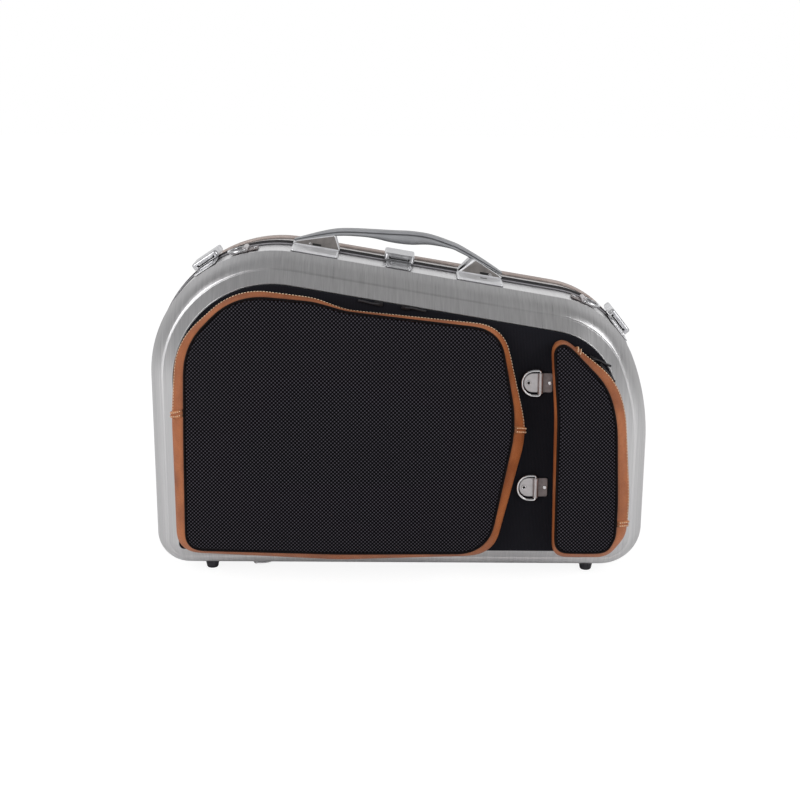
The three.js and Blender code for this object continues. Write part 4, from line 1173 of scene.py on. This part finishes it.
    def joint(self, name, numbers):
        """A leather tab across the gusset where two lengths meet. Gives the places of its stitches, in
        two short rows."""
        skew = (numbers[1] - numbers[0] + self.count / 2) % self.count - self.count / 2
        spread = JOINT_WIDTH / OUTLINE_STEP / 2
        across = [-0.04, 0.0, 0.1, 0.2, 0.4, 0.6, 0.8, 0.99]
        offsets = [-1.0, -0.9, -0.74, -0.5, -0.24, 0.0, 0.24, 0.5, 0.74, 0.9, 1.0]
        lifts = [0.1, 0.9, 1.5, 1.8, 1.3, 0.8, 1.3, 1.8, 1.5, 0.9, 0.1]
        bm = bmesh.new()
        top = [
            [
                bm.verts.new(place(*self.on_gusset(numbers[0] + skew * share + spread * o, share, lift)))
                for o, lift in zip(offsets, lifts)
            ]
            for share in across
        ]
        for low, high in zip(top, top[1:]):
            for k in range(len(offsets) - 1):
                bm.faces.new((low[k], low[k + 1], high[k + 1], high[k]))
        bmesh.ops.recalc_face_normals(bm, faces=bm.faces)
        out = self.lifted_way(numbers[0] + skew * 0.5, 0.5)
        bm.faces.ensure_lookup_table()
        if bm.faces[len(bm.faces) // 2].normal.dot(out) < 0:
            bmesh.ops.reverse_faces(bm, faces=bm.faces)
        bmesh.ops.solidify(bm, geom=bm.faces, thickness=JOINT_WALL * MM)
        finished(f"{self.name}_joint_{name}", bm, "front_half", LEATHER)
        rows = []
        for offset in (-0.5, 0.5):
            for share in (0.06, 0.22, 0.38, 0.54, 0.7, 0.86):
                here, ahead = (
                    self.on_gusset(numbers[0] + skew * s + spread * offset, s, JOINT_STITCH_LIFT)
                    for s in (share, share + 0.04)
                )
                rows.append((here, (ahead - here).normalized(), self.lifted_way(numbers[0], share)))
        return rows


def sewn(name, places, size):
    """Stitches as one piece. Each has a place, the way it runs and the way out of the cloth."""
    bm = bmesh.new()
    for here, way, out in places:
        side = out.cross(way).normalized()
        out = way.cross(side).normalized()
        turn = Matrix((way, side, out)).transposed().to_4x4()
        stretch = Matrix.Diagonal((*(v * MM for v in size), 1.0))
        bmesh.ops.create_icosphere(
            bm, subdivisions=1, radius=1.0, matrix=Matrix.Translation(place(*here)) @ turn @ stretch
        )
    return finished(name, bm, "front_half", CREAM_THREAD)


# Each joint: where it starts on the outline at the back, and where it ends on the outline at the face
large = Pocket(
    "large_pocket", LARGE_BASE, LARGE_FACE, ((135.5, 174.5, 120.2, 180.8), (-247.6, 191.0, -230.4, 197.1))
)
small = Pocket(
    "small_pocket", SMALL_BASE, SMALL_FACE, ((245.2, 67.6, 230.9, 73.3), (195.5, 268.5, 187.8, 265.1))
)
for pocket in (large, small):
    pocket.zip_tape()
    pocket.gusset()
    pocket.piping()
    pocket.mesh_face()
    pocket.stitches()
    rows = []
    for which, numbers in zip(("first", "last"), pocket.joints):
        rows += pocket.joint(which, numbers)
    sewn(f"{pocket.name}_joint_stitches", rows, JOINT_STITCH)


# Fittings

PARTING = Vector((0, PARTING_Y, FOOT_HEIGHT))
PLATE_FOOT = 0.3
BAR_TURNS = {
    "X": Matrix.Rotation(math.pi / 2, 4, "Y"),
    "Y": Matrix.Rotation(math.pi / 2, 4, "X"),
    "Z": Matrix(),
}


def seat(x, z, normal, y=0.0, turned=False):
    """Where a fitting sits on the flank, from its own frame in millimetres to the frame's metres: X along
    the flank to the right, Y to the back, Z out of it. Turned, it faces the other way round."""
    out = Vector((math.cos(normal), 0, math.sin(normal)))
    along = Vector((out.z, 0, -out.x))
    back = Vector((0, 1, 0))
    if turned:
        along, back = -along, -back
    turn = Matrix((along, back, out)).transposed().to_4x4()
    return Matrix.Scale(MM, 4) @ Matrix.Translation(PARTING + Vector((x, y, z))) @ turn


def seat_on_arc(centre, radius, degrees, y=0.0, turned=False):
    """A seat on one of the outline's arcs."""
    angle = math.radians(degrees)
    return seat(centre[0] + radius * math.cos(angle), centre[1] + radius * math.sin(angle), angle, y, turned)


def seat_on_top(share):
    """A seat on the sloping top, at a share of the half width."""
    x = share * HALF_WIDTH
    return seat(x, (TOP_REACH - math.cos(TOP_NORMAL) * x) / math.sin(TOP_NORMAL), TOP_NORMAL)


def panel_seat(x, z):
    """A seat on the front board: its own Z points to the front and its Y is upright."""
    turn = Matrix.Rotation(math.pi / 2, 4, "X")
    return Matrix.Scale(MM, 4) @ Matrix.Translation(PARTING + Vector((x, PANEL_FACE, z))) @ turn


def slab(bm, low, high):
    """A box between two corners. Gives its vertices."""
    size = [b - a for a, b in zip(low, high)]
    middle = [(a + b) / 2 for a, b in zip(low, high)]
    matrix = Matrix.Translation(middle) @ Matrix.Diagonal((*size, 1))
    return bmesh.ops.create_cube(bm, size=1.0, matrix=matrix)["verts"]


def disc(bm, radius, depth, spot, axis="Z", segments=24):
    """A short round bar along an axis. Gives its vertices."""
    size = {"radius1": radius, "radius2": radius, "depth": depth, "segments": segments}
    matrix = Matrix.Translation(spot) @ BAR_TURNS[axis]
    return bmesh.ops.create_cone(bm, cap_ends=True, matrix=matrix, **size)["verts"]


def edges_of(verts, chosen=lambda edge: True):
    """The edges between some vertices, or those of them that are chosen."""
    found = {edge for vert in verts for edge in vert.link_edges}
    kept = set(verts)
    return [edge for edge in found if set(edge.verts) <= kept and chosen(edge)]


def edges_above(edges, height):
    """Those of some edges that lie wholly above a height."""
    return [edge for edge in edges if all(vert.co.z > height for vert in edge.verts)]


def faces_of(verts):
    return {face for vert in verts for face in vert.link_faces}


def upright(edge):
    """Whether an edge runs along Z."""
    a, b = (vert.co for vert in edge.verts)
    return abs(a.x - b.x) < 1e-6 and abs(a.y - b.y) < 1e-6


def round_edges(bm, edges, width, segments=3):
    shape = {"affect": "EDGES", "profile": 0.5, "material": -1, "clamp_overlap": True}
    bmesh.ops.bevel(bm, geom=edges, offset=width, segments=segments, **shape)


def painted(faces, number):
    """Gives faces another of their piece's materials, by its number."""
    for face in faces:
        face.material_index = number


def cut_across(bm, spot, way):
    """Cuts every face along a plane and keeps both sides."""
    geom = [*bm.verts, *bm.edges, *bm.faces]
    bmesh.ops.bisect_plane(bm, geom=geom, plane_co=spot, plane_no=way)


def grown_verts(grown):
    return [item for item in grown if isinstance(item, bmesh.types.BMVert)]


def grown_faces(grown):
    return [item for item in grown if isinstance(item, bmesh.types.BMFace)]


def fitted(name, bm, where, body, material, replaced=(), also=()):
    """A fitting made in its own frame, put in its seat. More materials may follow the first."""
    bm.transform(where)
    bmesh.ops.recalc_face_normals(bm, faces=bm.faces)
    piece = finished(name, bm, body, material, replaced)
    for more in also:
        piece.data.materials.append(more)
    return crisp(piece)


# Handle

HANDLE_SPAN = 238.0
HANDLE_RISE = 37.0
HANDLE_TOP_LIFT = 0.9
HANDLE_UNDER_LIFT = 1.7
HANDLE_DEPTH = 18.0
HANDLE_END_DEPTH = 13.0
HANDLE_BACK = 5.0
HANDLE_SEAT = seat_on_top(-0.014)
RIB_HEIGHT = 3.3
RIB_SHARE = 0.42
RIB_REACH = 1.22
GROOVE_POINT = 5

# Stations along the span: the place as a share of half the span, then the top and the underside as
# shares of the rise
HANDLE_STATIONS = [
    (-1.0, 0.17, 0.106),
    (-0.87, 0.36, 0.222),
    (-0.75, 0.53, 0.334),
    (-0.62, 0.68, 0.44),
    (-0.48, 0.77, 0.52),
    (-0.28, 0.85, 0.57),
    (-0.09, 0.92, 0.535),
    (0.09, 0.99, 0.56),
    (0.27, 0.995, 0.66),
    (0.47, 0.89, 0.66),
    (0.56, 0.82, 0.59),
    (0.66, 0.7, 0.49),
    (0.76, 0.575, 0.365),
    (0.88, 0.405, 0.245),
    (1.0, 0.225, 0.125),
]
# Half of the grip's section, from the middle of its top down: shares of the half depth, rib and belly
GRIP_PROFILE = [
    (0.0, 0.0, 0.0),
    (0.55, 0.02, 0.0),
    (0.82, 0.18, 0.0),
    (0.93, 0.5, 0.0),
    (0.9, 0.84, 0.0),
    (0.68, 1.0, 0.0),
    (0.7, 1.18, 0.0),
    (0.9, RIB_REACH, 0.04),
    (0.98, RIB_REACH, 0.2),
    (1.0, RIB_REACH, 0.38),
    (0.95, RIB_REACH, 0.56),
    (0.82, RIB_REACH, 0.74),
    (0.6, RIB_REACH, 0.9),
    (0.3, RIB_REACH, 1.0),
]


def smooth_through(stations, steps):
    """Points on a smooth curve through stations, by Catmull-Rom runs."""
    run = []
    last = len(stations) - 1
    for i in range(last):
        a, b, c, d = (Vector(stations[min(max(k, 0), last)]) for k in (i - 1, i, i + 1, i + 2))
        for k in range(steps):
            t = k / steps
            once = (c - a) * t
            twice = (a * 2 - b * 5 + c * 4 - d) * t * t
            thrice = (b * 3 - a - c * 3 + d) * t**3
            run.append((b * 2 + once + twice + thrice) / 2)
    run.append(Vector(stations[-1]))
    return run


def handle_grip():
    """The soft grip: a rib along its top, a groove under the rib, and a full belly. Gives its material."""
    rings = []
    for station in smooth_through(HANDLE_STATIONS, 6):
        along = station.x * HANDLE_SPAN / 2
        top = station.y * HANDLE_RISE + HANDLE_TOP_LIFT
        tall = top - (station.z * HANDLE_RISE + HANDLE_UNDER_LIFT)
        half = (HANDLE_DEPTH - (HANDLE_DEPTH - HANDLE_END_DEPTH) * abs(station.x) ** 3) / 2
        rib = min(RIB_HEIGHT, tall * RIB_SHARE)
        belly = tall - RIB_REACH * rib
        profile = [(half * out, top - rib * high - belly * low) for out, high, low in GRIP_PROFILE]
        mirrored = [(-y, z) for y, z in reversed(profile[1:])]
        rings.append([HANDLE_SEAT @ Vector((along, y - HANDLE_BACK, z)) for y, z in [*profile, *mirrored]])
    around = [(p - q).length for p, q in zip(rings[0], [*rings[0][1:], rings[0][0]])]
    grip = grey_grip(sum(around[:GROOVE_POINT]), sum(around))
    piece = finished("handle_soft_grip", lofted(rings), "front_half", grip, ("handle_grip",))
    smoother = piece.modifiers.new("smoother", "SUBSURF")
    smoother.levels = smoother.render_levels = 1
    return grip


# Handle brackets. Along the flank, places are distances from the handle's middle

MOUNT_INNER = 67.0
MOUNT_OUTER = 119.0
MOUNT_FRONT = -48.0
MOUNT_BACK = -9.3
MOUNT_TOP = 3.1
MOUNT_ROD = (92.5, -14.4, 3.5)
WEDGE_FACE = -13.9
WEDGE_SHOULDER = -11.9
WEDGE_END = 3.0
WEDGE_FACE_HEIGHTS = [2.9, 4.4, 7.0, 18.6, 19.4, 18.2, 4.0, 2.9]
WEDGE_BODY_HEIGHTS = [2.9, 4.4, 7.0, 19.2, 20.0, 18.8, 4.0, 2.9]
WEDGE_BORDER = 0.8
WEDGE_LET_IN = 0.3
SLOT_HALF = 5.0
SLOT_LOW = 4.6
SLOT_HIGH = 6.9
LEDGE_FRONT = -31.5
LEDGE_BACK = -28.5
EYELET_RADIUS = 1.15
EYELET_WIRE = 0.35
EYELET_HEIGHT = 5.8
RIVET_PLACE = (98.1, -4.0, 5.8)
RIVET_RADIUS = 1.5
RIVET_LENGTH = 13.0
FACE_NUMBER = 1
PLATE_NUMBER = 2


def handle_mount(name, side, front, back, slot_at, eye_at):
    """A bracket: a crowned base plate on the flank and a wedge across the joint, with a satin face let in.
    Front and back are the wedge's corners along the flank, at its face and behind it."""
    bm = bmesh.new()
    left, right = sorted((side * MOUNT_INNER, side * MOUNT_OUTER))
    plate = slab(bm, (left, MOUNT_FRONT, PLATE_FOOT), (right, MOUNT_BACK, MOUNT_TOP))
    round_edges(bm, edges_of(plate, upright), 3.0, 4)
    round_edges(bm, edges_above(bm.edges, MOUNT_TOP - 0.01), 2.0, 5)
    disc(bm, 0.85, 50.0, (side * MOUNT_ROD[0], *MOUNT_ROD[1:]), "X", 12)
    near = [Vector((side * x, WEDGE_FACE, z)) for x, z in zip(front, WEDGE_FACE_HEIGHTS)]
    face = bm.faces.new([bm.verts.new(p) for p in near])
    middle = [Vector((side * x, WEDGE_SHOULDER, z)) for x, z in zip(back, WEDGE_BODY_HEIGHTS)]
    far = [Vector((p.x, WEDGE_END, p.z)) for p in middle]
    for corners in (middle, far):
        face = grown_faces(bmesh.ops.extrude_face_region(bm, geom=[face])["geom"])[0]
        for vert, corner in zip(face.verts, corners):
            vert.co = corner
    bmesh.ops.recalc_face_normals(bm, faces=bm.faces)
    painted(bm.faces, PLATE_NUMBER)
    eight = [f for f in bm.faces if len(f.verts) == 8 and f.calc_center_median().y < WEDGE_FACE + 0.1]
    bmesh.ops.inset_individual(bm, faces=eight, thickness=WEDGE_BORDER, depth=0.0)
    for f in bm.faces:
        if len(f.verts) == 8 and all(abs(v.co.y - WEDGE_FACE) < 1e-5 for v in f.verts):
            f.material_index = FACE_NUMBER
            bmesh.ops.translate(bm, verts=list(f.verts), vec=(0, WEDGE_LET_IN, 0))
    replaced = (f"handle_mount_{name}",)
    also = (MOUNT_FACE, MOUNT_PLATE)
    fitted(f"handle_bracket_{name}", bm, HANDLE_SEAT, "front_half", CHROME, replaced, also)

    bm = bmesh.new()
    middle = side * slot_at
    slot = slab(bm, (middle - SLOT_HALF, WEDGE_FACE - 0.05, SLOT_LOW), (middle + SLOT_HALF, -13.4, SLOT_HIGH))
    lengthwise = edges_of(slot, lambda e: abs(e.verts[0].co.y - e.verts[1].co.y) > 0.1)
    round_edges(bm, lengthwise, 1.0, 4)
    if name == "right":
        ledge = slab(bm, (middle - SLOT_HALF, LEDGE_FRONT, 3.0), (middle + 3.0, LEDGE_BACK, 3.25))
        round_edges(bm, edges_of(ledge, upright), 1.2, 4)
    fitted(f"handle_slot_{name}", bm, HANDLE_SEAT, "front_half", SHADOW)

    eye = []
    for angle in turns(20):
        x = side * eye_at + EYELET_RADIUS * math.cos(angle)
        eye.append(HANDLE_SEAT @ Vector((x, -13.75, EYELET_HEIGHT + EYELET_RADIUS * math.sin(angle))))
    bm = tube(eye, EYELET_WIRE, 8, True)
    finished(f"handle_eyelet_{name}", bm, "front_half", CHROME)

    bm = bmesh.new()
    disc(bm, RIVET_RADIUS, RIVET_LENGTH, (side * RIVET_PLACE[0], *RIVET_PLACE[1:]), "Y")
    replaced = (f"handle_pin_{name}",)
    fitted(f"handle_rivet_{name}", bm, HANDLE_SEAT, "front_half", CHROME, replaced)


# Latches

LEVER_BOX = ((-16.0, -12.0, 2.9), (16.0, 26.0, 9.6))
LEVER_WALL = 0.9
LEVER_STEP = 19.5
LEVER_STEP_HEIGHT = 4.4
WINDOW_BORDER = 1.15
WINDOW_REACH = 13.0
WINDOW_DEPTH = 1.6
TONGUE_BOX = ((-9.8, -11.8, 5.2), (9.8, -10.2, 7.2))
KEEPER_PLATE = ((-14.0, -48.0, PLATE_FOOT), (14.0, -9.3, 1.5))
KEEPER_LIP = ((-14.0, -10.2, 1.0), (14.0, -9.3, 2.4))
KEEPER_HOOK = ((-9.0, -22.0, 1.0), (9.0, -14.5, 2.6))
SCREW_PLACES = ((-10.0, -38.0), (10.0, -38.0))
SCREW_TOP = 2.1
SHADOW_NUMBER = 1


def lever_box(name, where, body):
    """The lever: a chrome box, open below and behind, with a window let into its front whose recess is
    painted shadow black.
    """
    bm = bmesh.new()
    box = slab(bm, *LEVER_BOX)
    bmesh.ops.recalc_face_normals(bm, faces=bm.faces)
    below = [f for f in bm.faces if f.normal.z < -0.9]
    bmesh.ops.delete(bm, geom=below, context="FACES_ONLY")
    round_edges(bm, edges_of(box, lambda e: upright(e) and e.verts[0].co.y < 0), 2.6, 4)
    round_edges(bm, edges_above(bm.edges, LEVER_BOX[1][2] - 0.01), 1.5, 4)
    behind = [f for f in bm.faces if f.normal.y > 0.99]
    bmesh.ops.delete(bm, geom=behind, context="FACES_ONLY")
    cut_across(bm, (0, LEVER_STEP, 0), (0, 1, 0))
    for vert in bm.verts:
        if vert.co.y > LEVER_STEP + 0.5 and vert.co.z < LEVER_BOX[0][2] + 0.1:
            vert.co.z = LEVER_STEP_HEIGHT
    front = [f for f in bm.faces if f.normal.y < -0.99]
    bmesh.ops.inset_region(bm, faces=front, thickness=WINDOW_BORDER, depth=0.0)
    front = [f for f in bm.faces if f.normal.y < -0.99]
    window = [f for f in front if all(abs(v.co.x) < WINDOW_REACH for v in f.verts)]
    pushed = bmesh.ops.extrude_face_region(bm, geom=window)["geom"]
    bmesh.ops.translate(bm, verts=grown_verts(pushed), vec=(0, WINDOW_DEPTH, 0))
    bmesh.ops.delete(bm, geom=window, context="FACES_ONLY")
    # Painted shadow in the window's recess
    painted(grown_faces(pushed), SHADOW_NUMBER)
    bmesh.ops.solidify(bm, geom=bm.faces, thickness=-LEVER_WALL)
    replaced = (f"latch_lever_{name}",)
    fitted(f"latch_box_{name}", bm, where, body, LATCH_METAL, replaced, (SHADOW,))


def latch_catch(name, where):
    """The keeper on the front half: a plate with a lip at the joint, a hook and two screws."""
    bm = bmesh.new()
    plate = slab(bm, *KEEPER_PLATE)
    round_edges(bm, edges_of(plate, upright), 3.0, 4)
    round_edges(bm, edges_above(bm.edges, KEEPER_PLATE[1][2] - 0.01), 0.4, 2)
    slab(bm, *KEEPER_LIP)
    hook = slab(bm, *KEEPER_HOOK)
    round_edges(bm, edges_of(hook), 0.7, 3)
    for x, y in SCREW_PLACES:
        head = disc(bm, 2.0, 0.8, (x, y, SCREW_TOP - 0.4))
        round_edges(bm, edges_above(edges_of(head), 2.0), 0.4, 3)
        socket = disc(bm, 1.1, 0.3, (x, y, SCREW_TOP), segments=6)
        painted(faces_of(socket), SHADOW_NUMBER)
    replaced = (f"latch_keeper_{name}",)
    fitted(f"latch_catch_{name}", bm, where, "front_half", LATCH_METAL, replaced, (SHADOW,))


def latch(name, where):
    """A latch: its lever, the chrome tongue in the lever's window, and its keeper."""
    body = f"lever_{name}"
    lever_box(name, where, body)
    bm = bmesh.new()
    tongue = slab(bm, *TONGUE_BOX)
    round_edges(bm, edges_of(tongue), 0.5, 3)
    fitted(f"latch_tongue_{name}", bm, where, body, CHROME)
    latch_catch(name, where)


# Strap rings. The corners of a ring and of its plate: X, Y and the corner's radius

RING_AXIS = 3.3
RING_WIRE = 1.3
RING_CORNERS = [(0, -14.0, 2.0), (0, 14.0, 2.0), (-20.0, 14.0, 13.4), (-20.0, -14.0, 13.4)]
RING_PLATE_CORNERS = [(13.4, -10.8, 2.2), (13.4, 10.8, 2.2), (-18.0, 10.8, 10.2), (-18.0, -10.8, 10.2)]
RING_PLATE_WALL = 1.2
SHADED_TAIL_NUMBER = 2
# The eyelet's middle, painted shadow black, and the rivet: X, radius, height and the number of the material
RING_BUTTONS = ((-12.8, 1.5, 1.6, SHADOW_NUMBER), (10.4, 2.2, 1.9, 3))
BUTTON_ROUNDING = 0.4 / 1.5
RING_EYELET = (-12.8, 2.0, 1.8)
RING_EYELET_WIRE = 0.65
KNUCKLE_RADIUS = 3.0
KNUCKLE_LENGTH = 23.0


def strap_ring(name, where):
    """A wire D-ring in the rolled knuckle of a riveted plate. The ring lies towards -X."""
    flat = [p for run in corner_arcs(RING_CORNERS, 12) for p in run]
    flat = resampled([*flat, flat[0]], 72)
    wire = tube([where @ Vector((p.x, p.y, RING_AXIS)) for p in flat], RING_WIRE, 12, True)
    replaced = (f"strap_ring_{name}",)
    finished(f"strap_wire_{name}", wire, f"ring_{name}", CHROME, replaced)

    bm = bmesh.new()
    for run in corner_arcs(RING_PLATE_CORNERS, 8):
        for p in run:
            bm.verts.new((p.x, p.y, PLATE_FOOT))
    bmesh.ops.remove_doubles(bm, verts=bm.verts, dist=0.01)
    sheet = bm.faces.new(bm.verts)
    top = grown_verts(bmesh.ops.extrude_face_region(bm, geom=[sheet])["geom"])
    bmesh.ops.translate(bm, verts=top, vec=(0, 0, RING_PLATE_WALL))
    round_edges(bm, edges_of(top, lambda e: len(e.link_faces) == 2), 0.45, 3)
    cut_across(bm, (0, 0, 0), (1, 0, 0))
    # The tail half, past the knuckle away from the ring, takes the painted shade
    painted([f for f in bm.faces if f.calc_center_median().x > 0], SHADED_TAIL_NUMBER)
    for x, radius, height, number in RING_BUTTONS:
        faces = faces_of(disc(bm, radius, 0.9, (x, 0, height), segments=20))
        caps = [f for f in faces if f.normal.z > 0.9]
        painted(faces, number)
        round_edges(bm, [e for f in caps for e in f.edges], radius * BUTTON_ROUNDING, 3)
    x, radius, height = RING_EYELET
    eye = [where @ Vector((x + radius * math.cos(a), radius * math.sin(a), height)) for a in turns(20)]
    eyelet = tube(eye, RING_EYELET_WIRE, 8, True)
    finished(f"strap_eyelet_{name}", eyelet, "front_half", CHROME)
    knuckle = faces_of(disc(bm, KNUCKLE_RADIUS, KNUCKLE_LENGTH, (0, 0, RING_AXIS), "Y", 20))
    ends = [f for f in knuckle if abs(f.normal.y) > 0.9]
    round_edges(bm, [e for f in ends for e in f.edges], 0.4, 2)
    replaced = (f"ring_plate_{name}",)
    also = (SHADOW, SHADED_TAIL_NICKEL, CHROME)
    fitted(f"strap_plate_{name}", bm, where, "front_half", NICKEL, replaced, also)


# Zip sliders

SLIDER_BOX = ((-4.5, -2.5, 0.0), (4.5, 2.5, 2.0))
SLIDER_BRIDGE = ((-2.6, -0.7, 1.6), (2.6, 0.7, 2.9))
SLIDER_LIFT = 0.3
PULL_STATIONS = [
    (-1.0, 0.0, 2.2),
    (3.0, 0.3, 2.0),
    (8.0, 0.5, 1.4),
    (14.0, -0.2, 1.3),
    (20.0, -0.6, 1.3),
    (22.3, -0.5, 1.3),
]
PULL_RADIUS = 1.2
PULL_UNEVEN = 0.12
PULL_TIP = 0.6


def zip_slider(name, x, z, degrees):
    """A dark slider with a short cord pull, lying on the front board."""
    where = Matrix.Scale(MM, 4) @ Matrix.Translation(PARTING + Vector((x, PANEL_FACE - SLIDER_LIFT, z)))
    where = where @ Matrix.Rotation(-math.radians(degrees), 4, "Y") @ Matrix.Rotation(math.pi / 2, 4, "X")
    bm = bmesh.new()
    slider = slab(bm, *SLIDER_BOX)
    round_edges(bm, edges_of(slider, upright), 1.2, 3)
    round_edges(bm, edges_above(bm.edges, SLIDER_BOX[1][2] - 0.01), 0.5, 2)
    bridge = slab(bm, *SLIDER_BRIDGE)
    round_edges(bm, edges_of(bridge), 0.3, 2)
    fitted(f"slider_{name}", bm, where, "front_half", DARK_METAL, (f"zip_slider_{name}",))
    line = [where @ p for p in smooth_through(PULL_STATIONS, 6)]
    radii = [PULL_RADIUS + PULL_UNEVEN * math.sin(k * 2.1) for k in range(len(line))]
    radii[0] = radii[-1] = PULL_TIP
    finished(f"pull_{name}", tube(line, radii, 8), "front_half", BLACK_CORD)


# Feet. The profile is given as radius and height, up to where a foot meets its shell

FOOT_PROFILE = [(0, 0), (5.0, 0.0), (6.0, 0.35), (6.6, 1.2), (6.9, 2.6), (7.7, 7.0), (8.2, 9.4), (8.4, 10.0)]
FOOT_RADIUS = 8.4
FOOT_X = 219.0


def foot(half, side, x, y, top):
    """A turned rubber foot with a rounded tip, on the front or the rear half."""
    bm = bmesh.new()
    profile = [*FOOT_PROFILE, (FOOT_RADIUS, top), (0, top)]
    verts = [bm.verts.new((r, 0, z)) for r, z in profile]
    edges = [bm.edges.new(pair) for pair in zip(verts, verts[1:])]
    turn = {"cent": (0, 0, 0), "axis": (0, 0, 1), "angle": 2 * math.pi, "steps": 32}
    bmesh.ops.spin(bm, geom=[*verts, *edges], use_merge=True, **turn)
    bmesh.ops.remove_doubles(bm, verts=bm.verts, dist=1e-4)
    where = Matrix.Scale(MM, 4) @ Matrix.Translation((x, y, 0))
    name = f"foot_{half}_{side}"
    fitted(f"{name}_turned", bm, where, f"{half}_half", RUBBER, (name,))


# Pins: small bright heads on the front shell's bevel

PIN_PLACES = (-119.5, 152.0)
PIN_RADII = (1.7, 1.3, 0.7)
PIN_Y = -62.6
PIN_INSET = 6.6
PIN_LEAN = 32


def bevel_pins():
    """The two pins, each on the outline's highest point near it, moved along the slope to its own X."""
    bm = bmesh.new()
    rim = outline(PIN_INSET)
    size = Matrix.Diagonal((*(radius * MM for radius in PIN_RADII), 1))
    lean = Matrix.Rotation(math.radians(PIN_LEAN), 4, "X")
    for x in PIN_PLACES:
        here = max((p for p in rim if abs(p[0] - x) < 6), key=lambda p: p[1] - abs(p[0] - x))
        head = Matrix.Translation(place(x, PIN_Y, here[1] + (here[0] - x) * math.tan(TOP_SLOPE)))
        bmesh.ops.create_uvsphere(bm, u_segments=16, v_segments=8, radius=1.0, matrix=head @ lean @ size)
    finished("bevel_pins", bm, "front_half", CHROME)


# Where each fitting sits

LEFT_WEDGE = [118.6, 118.8, 115.0, 77.0, 75.0, 73.4, 66.5, 66.5]
RIGHT_WEDGE_FRONT = [117.5, 117.8, 114.5, 88.0, 86.4, 84.9, 71.5, 71.5]
RIGHT_WEDGE_BACK = [118.6, 118.8, 115.0, 82.0, 80.4, 78.6, 68.0, 68.0]
RING_Y = -31.0

GRIP = handle_grip()
handle_mount("left", -1, LEFT_WEDGE, LEFT_WEDGE, 92.4, 100.0)
handle_mount("right", 1, RIGHT_WEDGE_FRONT, RIGHT_WEDGE_BACK, 98.2, 105.0)
latch("left", seat_on_arc(TOP_LEFT_CENTRE, TOP_LEFT_RADIUS, 123.7))
latch("centre", seat_on_top(-0.009))
latch("right", seat_on_arc(SHOULDER_CENTRE, SHOULDER_RADIUS, 38.7))
strap_ring("upper", panel_seat(153.17, 227.8))
strap_ring("lower", panel_seat(151.5, 107.4))
strap_ring("left", seat_on_arc(TOP_LEFT_CENTRE, TOP_LEFT_RADIUS, 103.5, RING_Y))
strap_ring("right", seat_on_arc(SHOULDER_CENTRE, SHOULDER_RADIUS, 66.0, RING_Y, True))
strap_ring("under", seat(-167.4, 0.0, 1.5 * math.pi, RING_Y))
zip_slider("large_left", -23.7, 314.6, 172)
zip_slider("large_right", 5.6, 310.6, 352)
zip_slider("small_upper", 209.0, 255.6, 339)
zip_slider("small_lower", 219.5, 246.0, 314)
for side, x in (("left", -FOOT_X), ("right", FOOT_X)):
    foot("front", side, x, -24.88, 11.7)
    foot("rear", side, x, 45.12, 12.4)
bevel_pins()


# Finishes of the CAD nodes that stay

SLOT_FINISHES = {
    "brushed_shell": BRUSHED,
    "bright_chrome": CHROME,
    "satin_nickel": NICKEL,
    "black_rubber": RUBBER,
    "grey_grip": GRIP,
    "tan_leather": LEATHER,
    "ribbed_fabric": RIBBED,
    "mesh_fabric": MESH,
    "plush_liner": PLUSH,
}
CAD_FINISHES = {
    entry["node"]: SLOT_FINISHES[entry["material_slot"]] for entry in frame["record"]["subparts"]
}


# The CAD nodes that stay take their finishes

for node in frame["nodes"].values():
    if not node.hide_render:
        node.data.materials.clear()
        node.data.materials.append(CAD_FINISHES[node.name])
